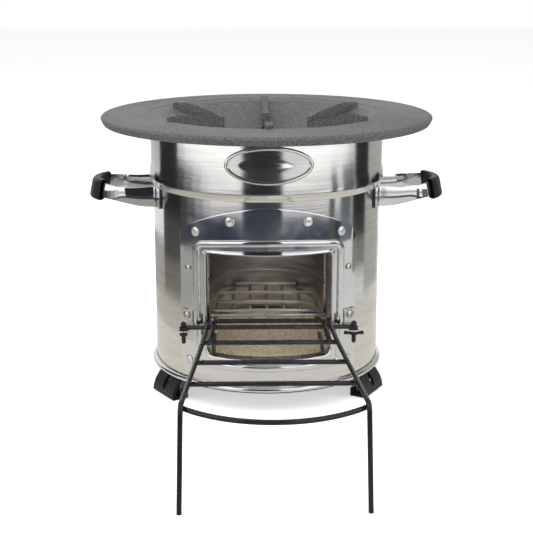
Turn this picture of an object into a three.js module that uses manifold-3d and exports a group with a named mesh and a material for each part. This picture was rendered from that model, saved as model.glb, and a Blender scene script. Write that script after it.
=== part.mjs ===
// Biomass cookstove with a cast-iron top, a side fuel door and a wire fuel stand.
// Millimetres, +Z up, and the door faces -Y. Pieces are placed from the stove's axis at the floor,
// and the finished group is moved so that its origin is under the middle of its footprint.
import * as THREE from 'three';
import { mergeVertices } from 'three/addons/utils/BufferGeometryUtils.js';
import Module from 'manifold-3d';

const wasm = await Module();
wasm.setup();

// Clearances and facet counts
const seatGap = 0.3;
const cutOverrun = 20;
const ringSegments = 48;
const chamberSegments = 36;
const pinSegments = 8;
const wireSides = 8;
const grateSides = 6;
const cornerSteps = 3;
const archSteps = 10;
const mergeTolerance = 0.0001;

// Base pan
const panHeight = 20.9;
const panSheet = 1.1;
const panBeadRadius = 3.2;
const panBeadOffset = 0.9;
const panLipWall = 1;
const panLipHeight = 7.1;

// Body shell
const shellRadius = 120;
const shellSheet = 1;

// Collar
const collarStep = 2;
const collarSheet = 1;
const collarFlangeWidth = 7;
const collarBandHeight = 50.4;
const grooveDepth = 2.5;
const grooveHalfHeight = 4.9;
const collarSkirtHeight = 5.2;
const badgeHalfWidth = 41.3;
const badgeHalfHeight = 17;
const badgeDrop = 30.2;
const badgeRimWidth = 3;
const badgeRimProud = 1.3;

// Cooktop
const cooktopHeight = 288.6;
const cooktopRadius = 173;
const cooktopEdgeWidth = 4.6;
const cooktopEdgeDrop = 3.2;
const cooktopRimDepth = 9;
const cooktopRimDraft = 3;
const cooktopRimLand = 7;
const cooktopRimSlope = 5;
const cooktopPlate = 5.7;
const ringStepInset = 46.4;
const ringStepWidth = 0.8;
const ringStepHeight = 0.5;
const dishRadius = 112.5;
const throatRadius = 56;
const throatDepth = 26.6;
const throatWall = 5.5;
const throatSkirt = 22;
const coneWallDrop = 6;

// Pan ribs
const ribCount = 6;
const ribThickness = 6.4;
const ribOuterRadius = 115;
const ribEndRise = 4.2;
const ribEndCorner = 1.5;
const ribCrestRadius = 97;
const ribCrestRise = 5.7;
const ribKneeRadius = 80;
const ribKneeRise = 2.2;
const ribBevelRadius = 58.5;
const ribBevelDrop = 3.8;
const ribNoseRadius = 53.2;
const ribNoseDrop = 7.6;
const ribNoseDepth = 22.6;
const ribSink = 4.5;
const toothCount = 13;
const toothDepth = 1.3;
const toothedFrom = 60;
const toothedTo = 108;

// Bolts that hold the cooktop on the collar's flange
const cooktopBoltRadius = 1.9;
const cooktopBoltHead = 3;
const cooktopBoltHeadHeight = 2.4;
const cooktopBoltReach = 3.4;
const cooktopBoltAngles = [30, 150, 270];

// Fuel opening and its throat
const openingHalfWidth = 63.4;
const openingBottom = 56.1;
const openingTopInset = 14.3;
const openingTopCorner = 3;
const openingBottomCorner = 8;
const throatSheet = 1;
const throatReach = 11.3;

// Door frame
const frameSheet = 1;
const frameHalfWidth = 89.3;
const frameBottom = 34.5;
const frameTopGap = 6.1;
const frameArchRadius = 162;
const frameTopCorner = 13;
const frameBottomCorner = 5.5;
const beadHalfWidth = 72.9;
const beadBottom = 46.1;
const beadTopInset = 33.8;
const beadArchRadius = 471;
const beadCorner = 6.5;
const beadWidth = 5.2;
const beadProud = 2.5;
const beadSink = 0.6;

// Fasteners in the door frame, placed by their distance from the middle and from the frame's ends
const rivetHead = 4.5;
const rivetHeadHeight = 1.5;
const rivetShank = 2;
const rivetHole = 1.3;
const rivetTail = 3;
const rivetTailHeight = 0.8;
const topRivets = [[38.2, 14.1], [72.8, 27.6]];
const footRivet = [81, 12.8];
const screwHead = 3.6;
const screwHeadHeight = 2.4;
const screwShank = 1.9;
const screwSlotWidth = 0.9;
const screwSlotDepth = 0.9;
const frameScrewOffset = 80.7;
const frameScrewHeightShare = 0.3996367;
const bracketScrewHead = 4.4;
const bracketScrewHeight = 95.1;

// Stand brackets, bolts and wing nuts
const bracketBeadGap = 0.513682;
const bracketWidth = 16.2;
const bracketSheet = 1.5;
const bracketTop = 101;
const shelfTipRadius = 5;
const boltOffset = 85.7;
const boltRadius = 2.3;
const boltHead = 2.9;
const boltHeadHeight = 5.4;
const boltTip = 70;
const nutHeight = 3.6;
const nutRadius = 4.2;
const wingReach = 10.2;
const wingThickness = 2;
const wingTipRise = 2.2;

// Wire fuel stand: the cross wires lie below the long ones, and reaches start at the door frame's front
const standWireRadius = 2.3;
const crossWireHeight = 87;
const boltedBarReach = -12.8;
const eyeRadius = 4.2;
const eyeThickness = 3;
const loopBackReach = -18.3;
const loopBackHalfWidth = 54.4;
const loopTipReach = 46.7;
const loopTipHalfWidth = 57.3;
const loopBend = 5;
const legBackReach = -20.3;
const legBackHalfWidth = 60.4;
const legMidReach = 50.2;
const legMidHalfWidth = 64.3;
const legKneeReach = 212.7;
const legKneeHalfWidth = 78;
const legFootReach = 224.3;
const legFootHalfWidth = 80.1;
const legBend = 8;
const crossBarReaches = [35.9, 93.2, 149.4];
const crossBarOverhang = 1.6;
const arcEndInset = 7.6;
const arcRise = 33.1;
const arcSteps = 14;

// Fuel tunnel and combustion chamber
const tunnelSheet = 1;
const tunnelFloor = 36;
const tunnelBack = 0;
const chamberRadius = 62;
const chamberSheet = 0.8;
const chamberBeadHeight = 103.5;
const chamberBeadHalf = 2.4;
const chamberBeadFlat = 1.4;
const chamberBeadProud = 1.2;
const ledgeWidth = 8;
const ledgeSheet = 1.2;
const ledgeLength = 28;

// Insulation
const insulationGap = 1.4;
const insulationDrop = 12;
const insulationBore = 66;

// Grate
const grateHeight = 88;
const grateBarRadius = 2;
const grateRailRadius = 1.5;
const grateSideRadius = 2;
const grateRailPlaces = [-36, -18, 0, 18, 36];
const grateBars = [[-49, 33.7], [-12.8, 50.7], [22.5, 53.7], [53.8, 57.5], [70.2, 58.7]];
const grateFront = 73;
const grateFrontHalfWidth = 58.2;
const grateBackReach = 57.4;
const grateRailFront = 71;
const grateSideSteps = 20;
const pegRadius = 2.5;
const pegReach = 7;
const pegHead = 4;
const pegHeadThickness = 1.2;

// Floor tile and the steel rails sunk in it
const tileHeight = 18.4;
const tileFrontInset = 16.3;
const tileHalfWidth = 63.9;
const tileBackRadius = 61.5;
const tileRailOffset = 56.4;
const tileGrooveWidth = 4.1;
const tileGrooveDepth = 6;
const tileRailHeight = 5.2;
const tileRailBack = 22;
const tileBumpRadius = 3;
const tileBumpHeight = 5;
const tileBumpPlaces = [-44, -22, 0, 22, 44];

// Feet and the steel brackets inside them
const footAngles = [-60, 60, 180];
const footWidth = 42;
const footWall = 3.5;
const footFloor = 3;
const footTopStep = 2;
const footKneeStep = 5.6;
const footKneeHeight = 12.6;
const footChamferStep = 2.1;
const footChamferHeight = 7;
const footToeStep = 1.1;
const footToeHeight = 1.4;
const footDepth = 22;
const footInnerWallHeight = 9;
const footSlotWidth = 6.5;
const footSlotDepth = 14;
const footBracketWidth = 30;
const footBracketSheet = 1.2;
const footBracketReach = 24;

// Handles
const handleArmOffset = 38.2;
const handleReach = 64.2;
const strapSheet = 1.6;
const strapBend = 4;
const strapTallAtBody = 21.1;
const strapTallAtGrip = 15;
const strapRise = 2.1;
const strapDip = 2;
const strapRampStartGap = 2;
const strapRampEndInset = 12.2;
const strapFlange = 13;
const gripLean = 12;
const gripHalfAngle = 57;
const gripThickness = 9;
const gripHeight = 21.4;
const gripCorner = 3.6;
const gripSteps = 8;
const gripSlotSteps = 12;
const gripPocketWidth = 5.4;
const gripPocketRise = 1.2;
const gripPocketDepth = 5;

// Places worked out from the sizes above
const panFloorTop = panHeight + panSheet;
const panBeadCentre = shellRadius + seatGap + panBeadOffset;
const shellInner = shellRadius - shellSheet;
const shellFoot = panFloorTop + seatGap;
const plateUnderside = cooktopHeight - cooktopPlate;
const collarTop = plateUnderside - seatGap;
const collarRadius = shellRadius + collarStep;
const collarInner = collarRadius - collarSheet;
const grooveRadius = collarRadius - grooveDepth;
const grooveTop = collarTop - collarBandHeight;
const grooveMiddle = grooveTop - grooveHalfHeight;
const grooveBottom = grooveMiddle - grooveHalfHeight;
const collarFoot = grooveBottom - collarSkirtHeight;
const badgeHeight = collarTop - badgeDrop;
const collarSkirtRadius = shellRadius + seatGap + collarSheet;
const shellTopShare = (collarSkirtRadius - grooveRadius) / grooveDepth;
const shellTop = grooveMiddle - grooveHalfHeight * shellTopShare;
const flangeBoltRadius = collarInner - collarFlangeWidth / 2;
const ringStepRadius = cooktopRadius - ringStepInset;
const throatTop = cooktopHeight - throatDepth;
const insulationTop = throatTop - insulationDrop;
const coneOuter = collarInner - collarFlangeWidth;
const skirtRadius = throatRadius + throatWall;
const coneSlope = (plateUnderside - throatTop + coneWallDrop) / (coneOuter - skirtRadius);
const chamberTop = throatTop - coneWallDrop + coneSlope * (chamberRadius - skirtRadius) - seatGap;
const frameInner = shellRadius + seatGap;
const frameOuter = frameInner + frameSheet;
const frameTop = collarFoot - frameTopGap;
const beadTop = frameTop - beadTopInset;
const openingTop = beadTop - openingTopInset;
const frameScrewHeight = bracketTop + (frameTop - bracketTop) * frameScrewHeightShare;
const rivetPlaces = [...topRivets.map(([offset, drop]) => [offset, frameTop - drop]),
  [footRivet[0], frameBottom + footRivet[1]]];
const tunnelHalfWidth = openingHalfWidth + throatSheet + seatGap;
const tunnelTop = openingTop + throatSheet + seatGap;
const tunnelFrontRadius = shellInner - seatGap;
const chamberOuter = chamberRadius + chamberSheet;
const chamberFoot = tunnelFloor + seatGap;
const longWireHeight = crossWireHeight + 2 * standWireRadius + seatGap;
const shelfTop = crossWireHeight - standWireRadius - seatGap;
const bracketBottom = shelfTop - bracketSheet;
const bracketInner = frameOuter + seatGap;
const bracketOuter = bracketInner + bracketSheet;
const bracketEdge = beadHalfWidth + beadWidth / 2 + bracketBeadGap;
const bracketTurn = Math.asin(bracketEdge / Math.hypot(bracketInner, bracketWidth / 2));
const bracketAngle = THREE.MathUtils.radToDeg(bracketTurn + Math.atan2(bracketWidth / 2, bracketInner));
const eyeTop = crossWireHeight - standWireRadius + eyeThickness;
const grateRailHeight = grateHeight - grateBarRadius - seatGap - grateSideRadius;
const ledgeTop = grateRailHeight - grateSideRadius - seatGap;
const pegHeight = ledgeTop - pegRadius;
const tileFront = frameOuter - tileFrontInset;
const footTop = panHeight - seatGap;
const footTopRadius = shellRadius + footTopStep;
const footKneeRadius = footTopRadius + footKneeStep;
const footChamferRadius = footKneeRadius + footChamferStep;
const footToeRadius = footChamferRadius + footToeStep;
const footInnerRadius = footTopRadius - footDepth;
const handleEnd = shellRadius + handleReach;
const strapRampStart = shellRadius + strapRampStartGap;
const strapRampEnd = handleEnd - strapRampEndInset;
const strapTopAtBody = collarFoot;
const strapBottomAtBody = strapTopAtBody - strapTallAtBody;
const strapTopAtGrip = strapTopAtBody + strapRise;
const strapBottomAtGrip = strapTopAtGrip - strapTallAtGrip;
const standY = (reach) => -frameOuter - reach;
const boltedBarY = standY(boltedBarReach);
const arcEndReach = legKneeReach - arcEndInset;
const arcTipReach = arcEndReach + arcRise;
const throatOuterHalfWidth = openingHalfWidth + throatSheet;
const ledgeFront = Math.sqrt((frameOuter - throatReach) ** 2 - throatOuterHalfWidth ** 2) - 2 * seatGap;

// Finishes
const castIron = { color: 0x4c4c4b, roughness: 0.75, metalness: 0.6 };
const brushedSteel = { color: 0xb9b7b2, roughness: 0.34, metalness: 1 };
const polishedSteel = { color: 0xd0d1d3, roughness: 0.1, metalness: 1 };
const darkSteel = { color: 0x6e655b, roughness: 0.5, metalness: 0.9 };
const zincSteel = { color: 0xc9bfa9, roughness: 0.35, metalness: 1 };
const aluminium = { color: 0xc4c5c6, roughness: 0.35, metalness: 1 };
const blackPaint = { color: 0x17181a, roughness: 0.25, metalness: 0.2 };
const blackPlastic = { color: 0x26272a, roughness: 0.5, metalness: 0 };
const firedClay = { color: 0xb8a27f, roughness: 0.95, metalness: 0 };
const mineralWool = { color: 0xcfc7b2, roughness: 1, metalness: 0 };

const point = (x, y) => new THREE.Vector2(x, y);
const radians = (degrees) => THREE.MathUtils.degToRad(degrees);
const stove = new THREE.Group();

// Merges shared vertices, drops empty triangles and turns the faces outwards.
function closedMesh(geometry) {
  const bare = geometry.clone();
  bare.deleteAttribute('normal');
  bare.deleteAttribute('uv');
  const merged = mergeVertices(bare, mergeTolerance);
  const index = merged.getIndex().array;
  const place = merged.getAttribute('position');
  const corners = [new THREE.Vector3(), new THREE.Vector3(), new THREE.Vector3()];
  const kept = [];
  let volume = 0;
  for (let i = 0; i < index.length; i += 3) {
    const [a, b, c] = index.slice(i, i + 3);
    if (a !== b && b !== c && c !== a) {
      kept.push(a, b, c);
      [a, b, c].forEach((vertex, k) => corners[k].fromBufferAttribute(place, vertex));
      volume += corners[0].dot(corners[1].cross(corners[2]));
    }
  }
  if (volume < 0) {
    kept.reverse();
  }
  return { vertProperties: new Float32Array(place.array), triVerts: new Uint32Array(kept) };
}

function solid(geometry) {
  return new wasm.Manifold(new wasm.Mesh({ numProp: 3, ...closedMesh(geometry) }));
}

function geometryOf(manifold) {
  const mesh = manifold.getMesh();
  const geometry = new THREE.BufferGeometry();
  geometry.setAttribute('position', new THREE.BufferAttribute(mesh.vertProperties, 3));
  geometry.setIndex(new THREE.BufferAttribute(mesh.triVerts, 1));
  geometry.computeVertexNormals();
  return geometry;
}

// Adds one named piece to the stove, or to a group inside it.
function addPiece(name, shape, finish, parent = stove) {
  const geometry = shape.isBufferGeometry ? geometryOf(solid(shape)) : geometryOf(shape);
  const mesh = new THREE.Mesh(geometry, new THREE.MeshStandardMaterial(finish));
  mesh.name = name;
  parent.add(mesh);
  return mesh;
}

// A group turned about the stove's axis, so that what is built at the front goes round it.
function turned(degrees) {
  const group = new THREE.Group();
  group.rotation.z = radians(degrees);
  stove.add(group);
  return group;
}

function arc(centreX, centreY, radiusX, radiusY, fromDegrees, toDegrees, steps) {
  const points = [];
  for (let i = 0; i <= steps; i += 1) {
    const angle = radians(fromDegrees + (toDegrees - fromDegrees) * i / steps);
    points.push(point(centreX + radiusX * Math.cos(angle), centreY + radiusY * Math.sin(angle)));
  }
  return points;
}

// Turns a profile of radius and height about the Z axis.
function revolved(profile, segments = ringSegments) {
  return new THREE.LatheGeometry(profile, segments).rotateX(Math.PI / 2);
}

function ring(innerRadius, outerRadius, bottom, top, segments = ringSegments) {
  const profile = [
    point(innerRadius, bottom), point(outerRadius, bottom), point(outerRadius, top),
    point(innerRadius, top), point(innerRadius, bottom),
  ];
  return revolved(profile, segments);
}

function disc(radius, bottom, top, segments = ringSegments) {
  return revolved([point(0, bottom), point(radius, bottom), point(radius, top), point(0, top)], segments);
}

function block(xLow, xHigh, yLow, yHigh, zLow, zHigh) {
  const box = new THREE.BoxGeometry(xHigh - xLow, yHigh - yLow, zHigh - zLow);
  return box.translate((xLow + xHigh) / 2, (yLow + yHigh) / 2, (zLow + zHigh) / 2);
}

// Stands an outline drawn in X and Z upright and gives it a depth from yLow to yHigh.
function standing(shape, yLow, yHigh) {
  const depth = yHigh - yLow;
  const slab = new THREE.ExtrudeGeometry(shape, { depth, bevelEnabled: false, curveSegments: cornerSteps });
  return slab.rotateX(Math.PI / 2).translate(0, yHigh, 0);
}

// Lays an outline drawn in X and Y flat between two heights.
function lying(shape, bottom, top, curveSegments = cornerSteps) {
  const slab = new THREE.ExtrudeGeometry(shape, { depth: top - bottom, bevelEnabled: false, curveSegments });
  return slab.translate(0, 0, bottom);
}

// Turns an outline of radius and height into a slab that faces the front.
function radialSlab(shape, width) {
  return standing(shape, -width / 2, width / 2).rotateZ(-Math.PI / 2);
}

// Points a turned piece's own axis to the front, at a radius and a height.
function facingFront(geometry, radius, height) {
  return geometry.rotateX(Math.PI / 2).translate(0, -radius, height);
}

function mirrored(geometry) {
  return geometry.clone().scale(-1, 1, 1);
}

function frontAngle(offset, radius) {
  return THREE.MathUtils.radToDeg(Math.asin(offset / radius));
}

// Joins rings of points into one closed skin. A loop joins its last ring to its first.
function loft(rings, isLoop) {
  const count = rings[0].length;
  const spans = isLoop ? rings.length : rings.length - 1;
  const indices = [];
  for (let i = 0; i < spans; i += 1) {
    const next = (i + 1) % rings.length;
    for (let j = 0; j < count; j += 1) {
      const k = (j + 1) % count;
      indices.push(i * count + j, i * count + k, next * count + k);
      indices.push(i * count + j, next * count + k, next * count + j);
    }
  }
  if (!isLoop) {
    const end = (rings.length - 1) * count;
    for (let j = 1; j < count - 1; j += 1) {
      indices.push(0, j + 1, j);
      indices.push(end, end + j, end + j + 1);
    }
  }
  const geometry = new THREE.BufferGeometry().setFromPoints(rings.flat());
  geometry.setIndex(indices);
  return geometry;
}

// The middle line of a bent wire or strap, with stations only where it bends.
class BentLine extends THREE.Curve {
  constructor(corners, bends) {
    super();
    this.points = [];
    this.tangents = [];
    const last = corners.length - 1;
    corners.forEach((corner, i) => {
      const into = corner.clone().sub(corners[Math.max(i - 1, 0)]).normalize();
      const out = corners[Math.min(i + 1, last)].clone().sub(corner).normalize();
      if (i === 0 || i === last) {
        this.addStation(corner, i === 0 ? out : into);
      } else if (bends[i - 1] > 0) {
        this.addBend(corner, into, out, bends[i - 1]);
      } else {
        this.addStation(corner, into.clone().add(out).normalize());
      }
    });
  }

  addStation(place, tangent) {
    this.points.push(place);
    this.tangents.push(tangent);
  }

  addBend(corner, into, out, radius) {
    const turn = into.angleTo(out);
    const setback = radius * Math.tan(turn / 2);
    const start = corner.clone().addScaledVector(into, -setback);
    const axis = into.clone().cross(out).normalize();
    const centre = start.clone().addScaledVector(axis.clone().cross(into), radius);
    const steps = Math.max(2, Math.round(turn / radians(12)));
    for (let i = 0; i <= steps; i += 1) {
      const angle = turn * i / steps;
      const place = start.clone().sub(centre).applyAxisAngle(axis, angle).add(centre);
      this.addStation(place, into.clone().applyAxisAngle(axis, angle));
    }
  }

  get steps() {
    return this.points.length - 1;
  }

  getUtoTmapping(share) {
    return share;
  }

  getPoint(share) {
    const station = Math.min(Math.floor(share * this.steps), this.steps - 1);
    return this.points[station].clone().lerp(this.points[station + 1], share * this.steps - station);
  }

  getTangent(share) {
    const station = Math.min(Math.floor(share * this.steps), this.steps - 1);
    const tangent = this.tangents[station].clone();
    return tangent.lerp(this.tangents[station + 1], share * this.steps - station).normalize();
  }
}

// A round wire along a curve. Its steps are the curve's own stations unless given.
function wire(curve, radius, sides = wireSides, steps = curve.steps) {
  const section = new THREE.Shape().absarc(0, 0, radius, 0, 2 * Math.PI);
  return new THREE.ExtrudeGeometry(section, { steps, extrudePath: curve, curveSegments: sides / 2 });
}

function bentWire(corners, bends, radius, sides = wireSides) {
  return wire(new BentLine(corners.map((corner) => new THREE.Vector3(...corner)), bends), radius, sides);
}

function straightWire(from, to, radius, sides = wireSides) {
  return bentWire([from, to], [], radius, sides);
}

function roundedOutline(halfWidth, bottom, top, bottomCorner, topCorner) {
  const lowX = halfWidth - bottomCorner;
  const lowZ = bottom + bottomCorner;
  const highX = halfWidth - topCorner;
  const highZ = top - topCorner;
  return [
    ...arc(lowX, lowZ, bottomCorner, bottomCorner, -90, 0, cornerSteps),
    ...arc(highX, highZ, topCorner, topCorner, 0, 90, cornerSteps),
    ...arc(-highX, highZ, topCorner, topCorner, 90, 180, cornerSteps),
    ...arc(-lowX, lowZ, bottomCorner, bottomCorner, 180, 270, cornerSteps),
  ];
}

// A door outline whose top is a shallow arch that runs into round corners.
function archedOutline(halfWidth, bottom, top, archRadius, topCorner, bottomCorner) {
  const archCentre = top - archRadius;
  const lowX = halfWidth - bottomCorner;
  const lowZ = bottom + bottomCorner;
  const cornerX = halfWidth - topCorner;
  const cornerZ = archCentre + Math.sqrt((archRadius - topCorner) ** 2 - cornerX ** 2);
  const turn = THREE.MathUtils.radToDeg(Math.atan2(cornerZ - archCentre, cornerX));
  return [
    ...arc(lowX, lowZ, bottomCorner, bottomCorner, -90, 0, cornerSteps),
    ...arc(cornerX, cornerZ, topCorner, topCorner, 0, turn, cornerSteps),
    ...arc(0, archCentre, archRadius, archRadius, turn, 180 - turn, archSteps).slice(1, -1),
    ...arc(-cornerX, cornerZ, topCorner, topCorner, 180 - turn, 180, cornerSteps),
    ...arc(-lowX, lowZ, bottomCorner, bottomCorner, 180, 270, cornerSteps),
  ];
}

// A raised half-round rim that follows a closed outline round the stove's front.
function raisedRim(outline, radius, width, proud, sink) {
  const onDrum = ([x, z], lift) => {
    const angle = Math.asin(x / radius);
    return new THREE.Vector3((radius + lift) * Math.sin(angle), -(radius + lift) * Math.cos(angle), z);
  };
  const section = [[-width / 2, -sink], ...arc(0, 0, width / 2, proud, 180, 0, 4).map((p) => [p.x, p.y])];
  section.push([width / 2, -sink]);
  const rings = outline.map((place, i) => {
    const before = outline[(i + outline.length - 1) % outline.length];
    const after = outline[(i + 1) % outline.length];
    const middle = onDrum([place.x, place.y], 0);
    const along = onDrum([after.x, after.y], 0).sub(onDrum([before.x, before.y], 0)).normalize();
    const out = middle.clone().setZ(0).normalize();
    const across = along.clone().cross(out).normalize();
    const lifted = ([side, lift]) => middle.clone().addScaledVector(across, side).addScaledVector(out, lift);
    return section.map(lifted);
  });
  return loft(rings, true);
}

// Splits the long runs of an outline, so that it can bend round the drum.
function splitRuns(points, longestRun) {
  const split = [];
  points.forEach((place, i) => {
    const next = points[(i + 1) % points.length];
    const isLevel = Math.abs(next.x - place.x) > Math.abs(next.y - place.y);
    const pieces = isLevel ? Math.ceil(place.distanceTo(next) / longestRun) : 1;
    for (let k = 0; k < pieces; k += 1) {
      split.push(place.clone().lerp(next, k / pieces));
    }
  });
  return split;
}

function buildBasePan() {
  const beadHeight = panHeight + panBeadRadius;
  const lipInner = shellRadius + seatGap;
  const profile = [
    point(0, panHeight),
    ...arc(panBeadCentre, beadHeight, panBeadRadius, panBeadRadius, -90, 80, 4),
    point(lipInner + panLipWall, panHeight + panLipHeight),
    point(lipInner, panHeight + panLipHeight),
    point(lipInner, panFloorTop),
    point(0, panFloorTop),
  ];
  addPiece('base_pan', revolved(profile), brushedSteel);
}

// A radial cutter for the holes that the front fasteners pass through.
function frontHole(degrees, height, radius) {
  const reach = 2 * cutOverrun;
  const drill = facingFront(disc(radius, -reach / 2, reach / 2, pinSegments), shellRadius, height);
  return solid(drill.rotateZ(radians(degrees)));
}

function frontFastenerPlaces() {
  const places = [];
  for (const side of [-1, 1]) {
    for (const [offset, height] of rivetPlaces) {
      places.push([frontAngle(side * offset, frameOuter), height, rivetShank]);
    }
    places.push([frontAngle(side * frameScrewOffset, frameOuter), frameScrewHeight, screwShank]);
    places.push([side * bracketAngle, bracketScrewHeight, screwShank]);
  }
  return places;
}

function drillFront(body) {
  let drilled = body;
  for (const [degrees, height, radius] of frontFastenerPlaces()) {
    drilled = drilled.subtract(frontHole(degrees, height, radius + seatGap));
  }
  return drilled;
}

function buildShell() {
  const clearance = throatSheet + 2 * seatGap;
  const halfWidth = openingHalfWidth + clearance;
  const frontCut = block(-halfWidth, halfWidth, -shellRadius - cutOverrun, 0,
    openingBottom - clearance, openingTop + clearance);
  const drum = solid(ring(shellInner, shellRadius, shellFoot, shellTop));
  addPiece('body_shell', drillFront(drum.subtract(solid(frontCut))), brushedSteel);
}

function buildCollar() {
  const flangeInner = collarInner - collarFlangeWidth;
  const skirtBottom = grooveBottom - collarSkirtHeight;
  const profile = [
    point(flangeInner, collarTop), point(collarRadius, collarTop), point(collarRadius, grooveTop),
    point(grooveRadius, grooveMiddle), point(collarRadius, grooveBottom),
    point(collarSkirtRadius, skirtBottom), point(collarSkirtRadius - collarSheet, skirtBottom),
    point(collarInner, grooveBottom),
    point(grooveRadius - collarSheet, grooveMiddle), point(collarInner, grooveTop),
    point(collarInner, collarTop - collarSheet), point(flangeInner, collarTop - collarSheet),
    point(flangeInner, collarTop),
  ];
  let collar = solid(revolved(profile));
  const oval = arc(0, badgeHeight, badgeHalfWidth, badgeHalfHeight, 0, 360, 28).slice(1);
  collar = collar.add(solid(raisedRim(oval, collarRadius, badgeRimWidth, badgeRimProud, collarSheet / 2)));
  const hole = disc(cooktopBoltRadius + seatGap, collarTop - cutOverrun, collarTop + cutOverrun, pinSegments);
  for (const degrees of cooktopBoltAngles) {
    const drill = hole.clone().translate(0, -flangeBoltRadius, 0).rotateZ(radians(degrees));
    collar = collar.subtract(solid(drill));
  }
  addPiece('collar', collar, brushedSteel);
}

function ribTopRise(radius) {
  const radii = [ribBevelRadius, ribKneeRadius, ribCrestRadius, ribOuterRadius - ribEndCorner];
  const rises = [-ribBevelDrop, ribKneeRise, ribCrestRise, ribEndRise];
  const span = radii.findIndex((end, i) => i > 0 && radius <= end);
  const share = (radius - radii[span - 1]) / (radii[span] - radii[span - 1]);
  return THREE.MathUtils.lerp(rises[span - 1], rises[span], share);
}

function ribOutline() {
  const pitch = (toothedTo - toothedFrom) / toothCount;
  const points = [
    point(ribOuterRadius, cooktopHeight - ribSink),
    point(ribOuterRadius, cooktopHeight + ribEndRise - ribEndCorner),
    point(ribOuterRadius - ribEndCorner, cooktopHeight + ribEndRise),
  ];
  for (let i = 0; i < toothCount; i += 1) {
    const radius = toothedTo - pitch * i;
    const foot = radius - pitch;
    points.push(point(radius, cooktopHeight + ribTopRise(radius)));
    points.push(point(foot, cooktopHeight + ribTopRise(foot) - toothDepth));
  }
  points.push(
    point(ribBevelRadius, cooktopHeight - ribBevelDrop),
    point(ribNoseRadius, cooktopHeight - ribNoseDrop),
    point(ribNoseRadius, cooktopHeight - ribNoseDepth),
    point(throatRadius + throatWall / 2, throatTop - seatGap),
    point(dishRadius - ribSink, cooktopHeight - ribSink),
  );
  return new THREE.Shape(points);
}

function buildCooktop() {
  const rimBottom = cooktopHeight - cooktopRimDepth;
  const rimOuter = cooktopRadius - cooktopRimDraft;
  const rimInner = rimOuter - cooktopRimLand;
  const dishTop = cooktopHeight + ringStepHeight;
  const edge = arc(cooktopRadius - cooktopEdgeWidth, cooktopHeight - cooktopEdgeDrop,
    cooktopEdgeWidth, cooktopEdgeDrop, 0, 90, 3);
  const profile = [
    point(throatRadius, throatTop - throatSkirt), point(skirtRadius, throatTop - throatSkirt),
    point(skirtRadius, throatTop - coneWallDrop), point(coneOuter, plateUnderside),
    point(rimInner - cooktopRimSlope, plateUnderside), point(rimInner, rimBottom), point(rimOuter, rimBottom),
    ...edge,
    point(ringStepRadius + ringStepWidth, cooktopHeight), point(ringStepRadius, dishTop),
    point(dishRadius, dishTop), point(throatRadius, throatTop), point(throatRadius, throatTop - throatSkirt),
  ];
  let cooktop = solid(revolved(profile));
  const rib = radialSlab(ribOutline(), ribThickness);
  for (let i = 0; i < ribCount; i += 1) {
    cooktop = cooktop.add(solid(rib.clone().rotateZ(2 * Math.PI * i / ribCount)));
  }
  const holeTop = plateUnderside + cooktopBoltReach + seatGap;
  const hole = disc(cooktopBoltRadius + seatGap, plateUnderside - cutOverrun, holeTop, pinSegments);
  for (const degrees of cooktopBoltAngles) {
    const drill = hole.clone().translate(0, -flangeBoltRadius, 0).rotateZ(radians(degrees));
    cooktop = cooktop.subtract(solid(drill));
  }
  addPiece('cooktop', cooktop, castIron);
}

function buildCooktopBolts() {
  const headTop = collarTop - collarSheet - seatGap;
  const profile = [
    point(0, headTop - cooktopBoltHeadHeight), point(cooktopBoltHead, headTop - cooktopBoltHeadHeight),
    point(cooktopBoltHead, headTop), point(cooktopBoltRadius, headTop),
    point(cooktopBoltRadius, plateUnderside + cooktopBoltReach), point(0, plateUnderside + cooktopBoltReach),
  ];
  const bolt = revolved(profile, pinSegments).translate(0, -flangeBoltRadius, 0);
  cooktopBoltAngles.forEach((degrees, i) => {
    addPiece(`cooktop_bolt_${i + 1}`, bolt, zincSteel, turned(degrees));
  });
}

// The frame's sheet, its raised bead and the throat that sleeves into the fuel tunnel.
function buildDoorFrame() {
  const front = -frameOuter - beadProud - cutOverrun;
  const outline = archedOutline(frameHalfWidth, frameBottom, frameTop,
    frameArchRadius, frameTopCorner, frameBottomCorner);
  const sheet = solid(standing(new THREE.Shape(outline), front, 0));
  const drum = solid(ring(frameInner, frameOuter, 0, frameTop + cutOverrun));
  let frame = sheet.intersect(drum);
  const beadLine = archedOutline(beadHalfWidth, beadBottom, beadTop, beadArchRadius, beadCorner, beadCorner);
  frame = frame.add(solid(raisedRim(splitRuns(beadLine, beadWidth * 4), frameOuter,
    beadWidth, beadProud, beadSink)));
  const sleeve = roundedOutline(openingHalfWidth + throatSheet, openingBottom - throatSheet,
    openingTop + throatSheet, openingBottomCorner + throatSheet, openingTopCorner + throatSheet);
  const throatRing = ring(frameOuter - throatReach, frameOuter - frameSheet / 2, 0, frameTop);
  frame = frame.add(solid(standing(new THREE.Shape(sleeve), front, 0)).intersect(solid(throatRing)));
  const opening = roundedOutline(openingHalfWidth, openingBottom, openingTop,
    openingBottomCorner, openingTopCorner);
  frame = frame.subtract(solid(standing(new THREE.Shape(opening), front, 0)));
  addPiece('door_frame', drillFront(frame), polishedSteel);
}

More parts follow.
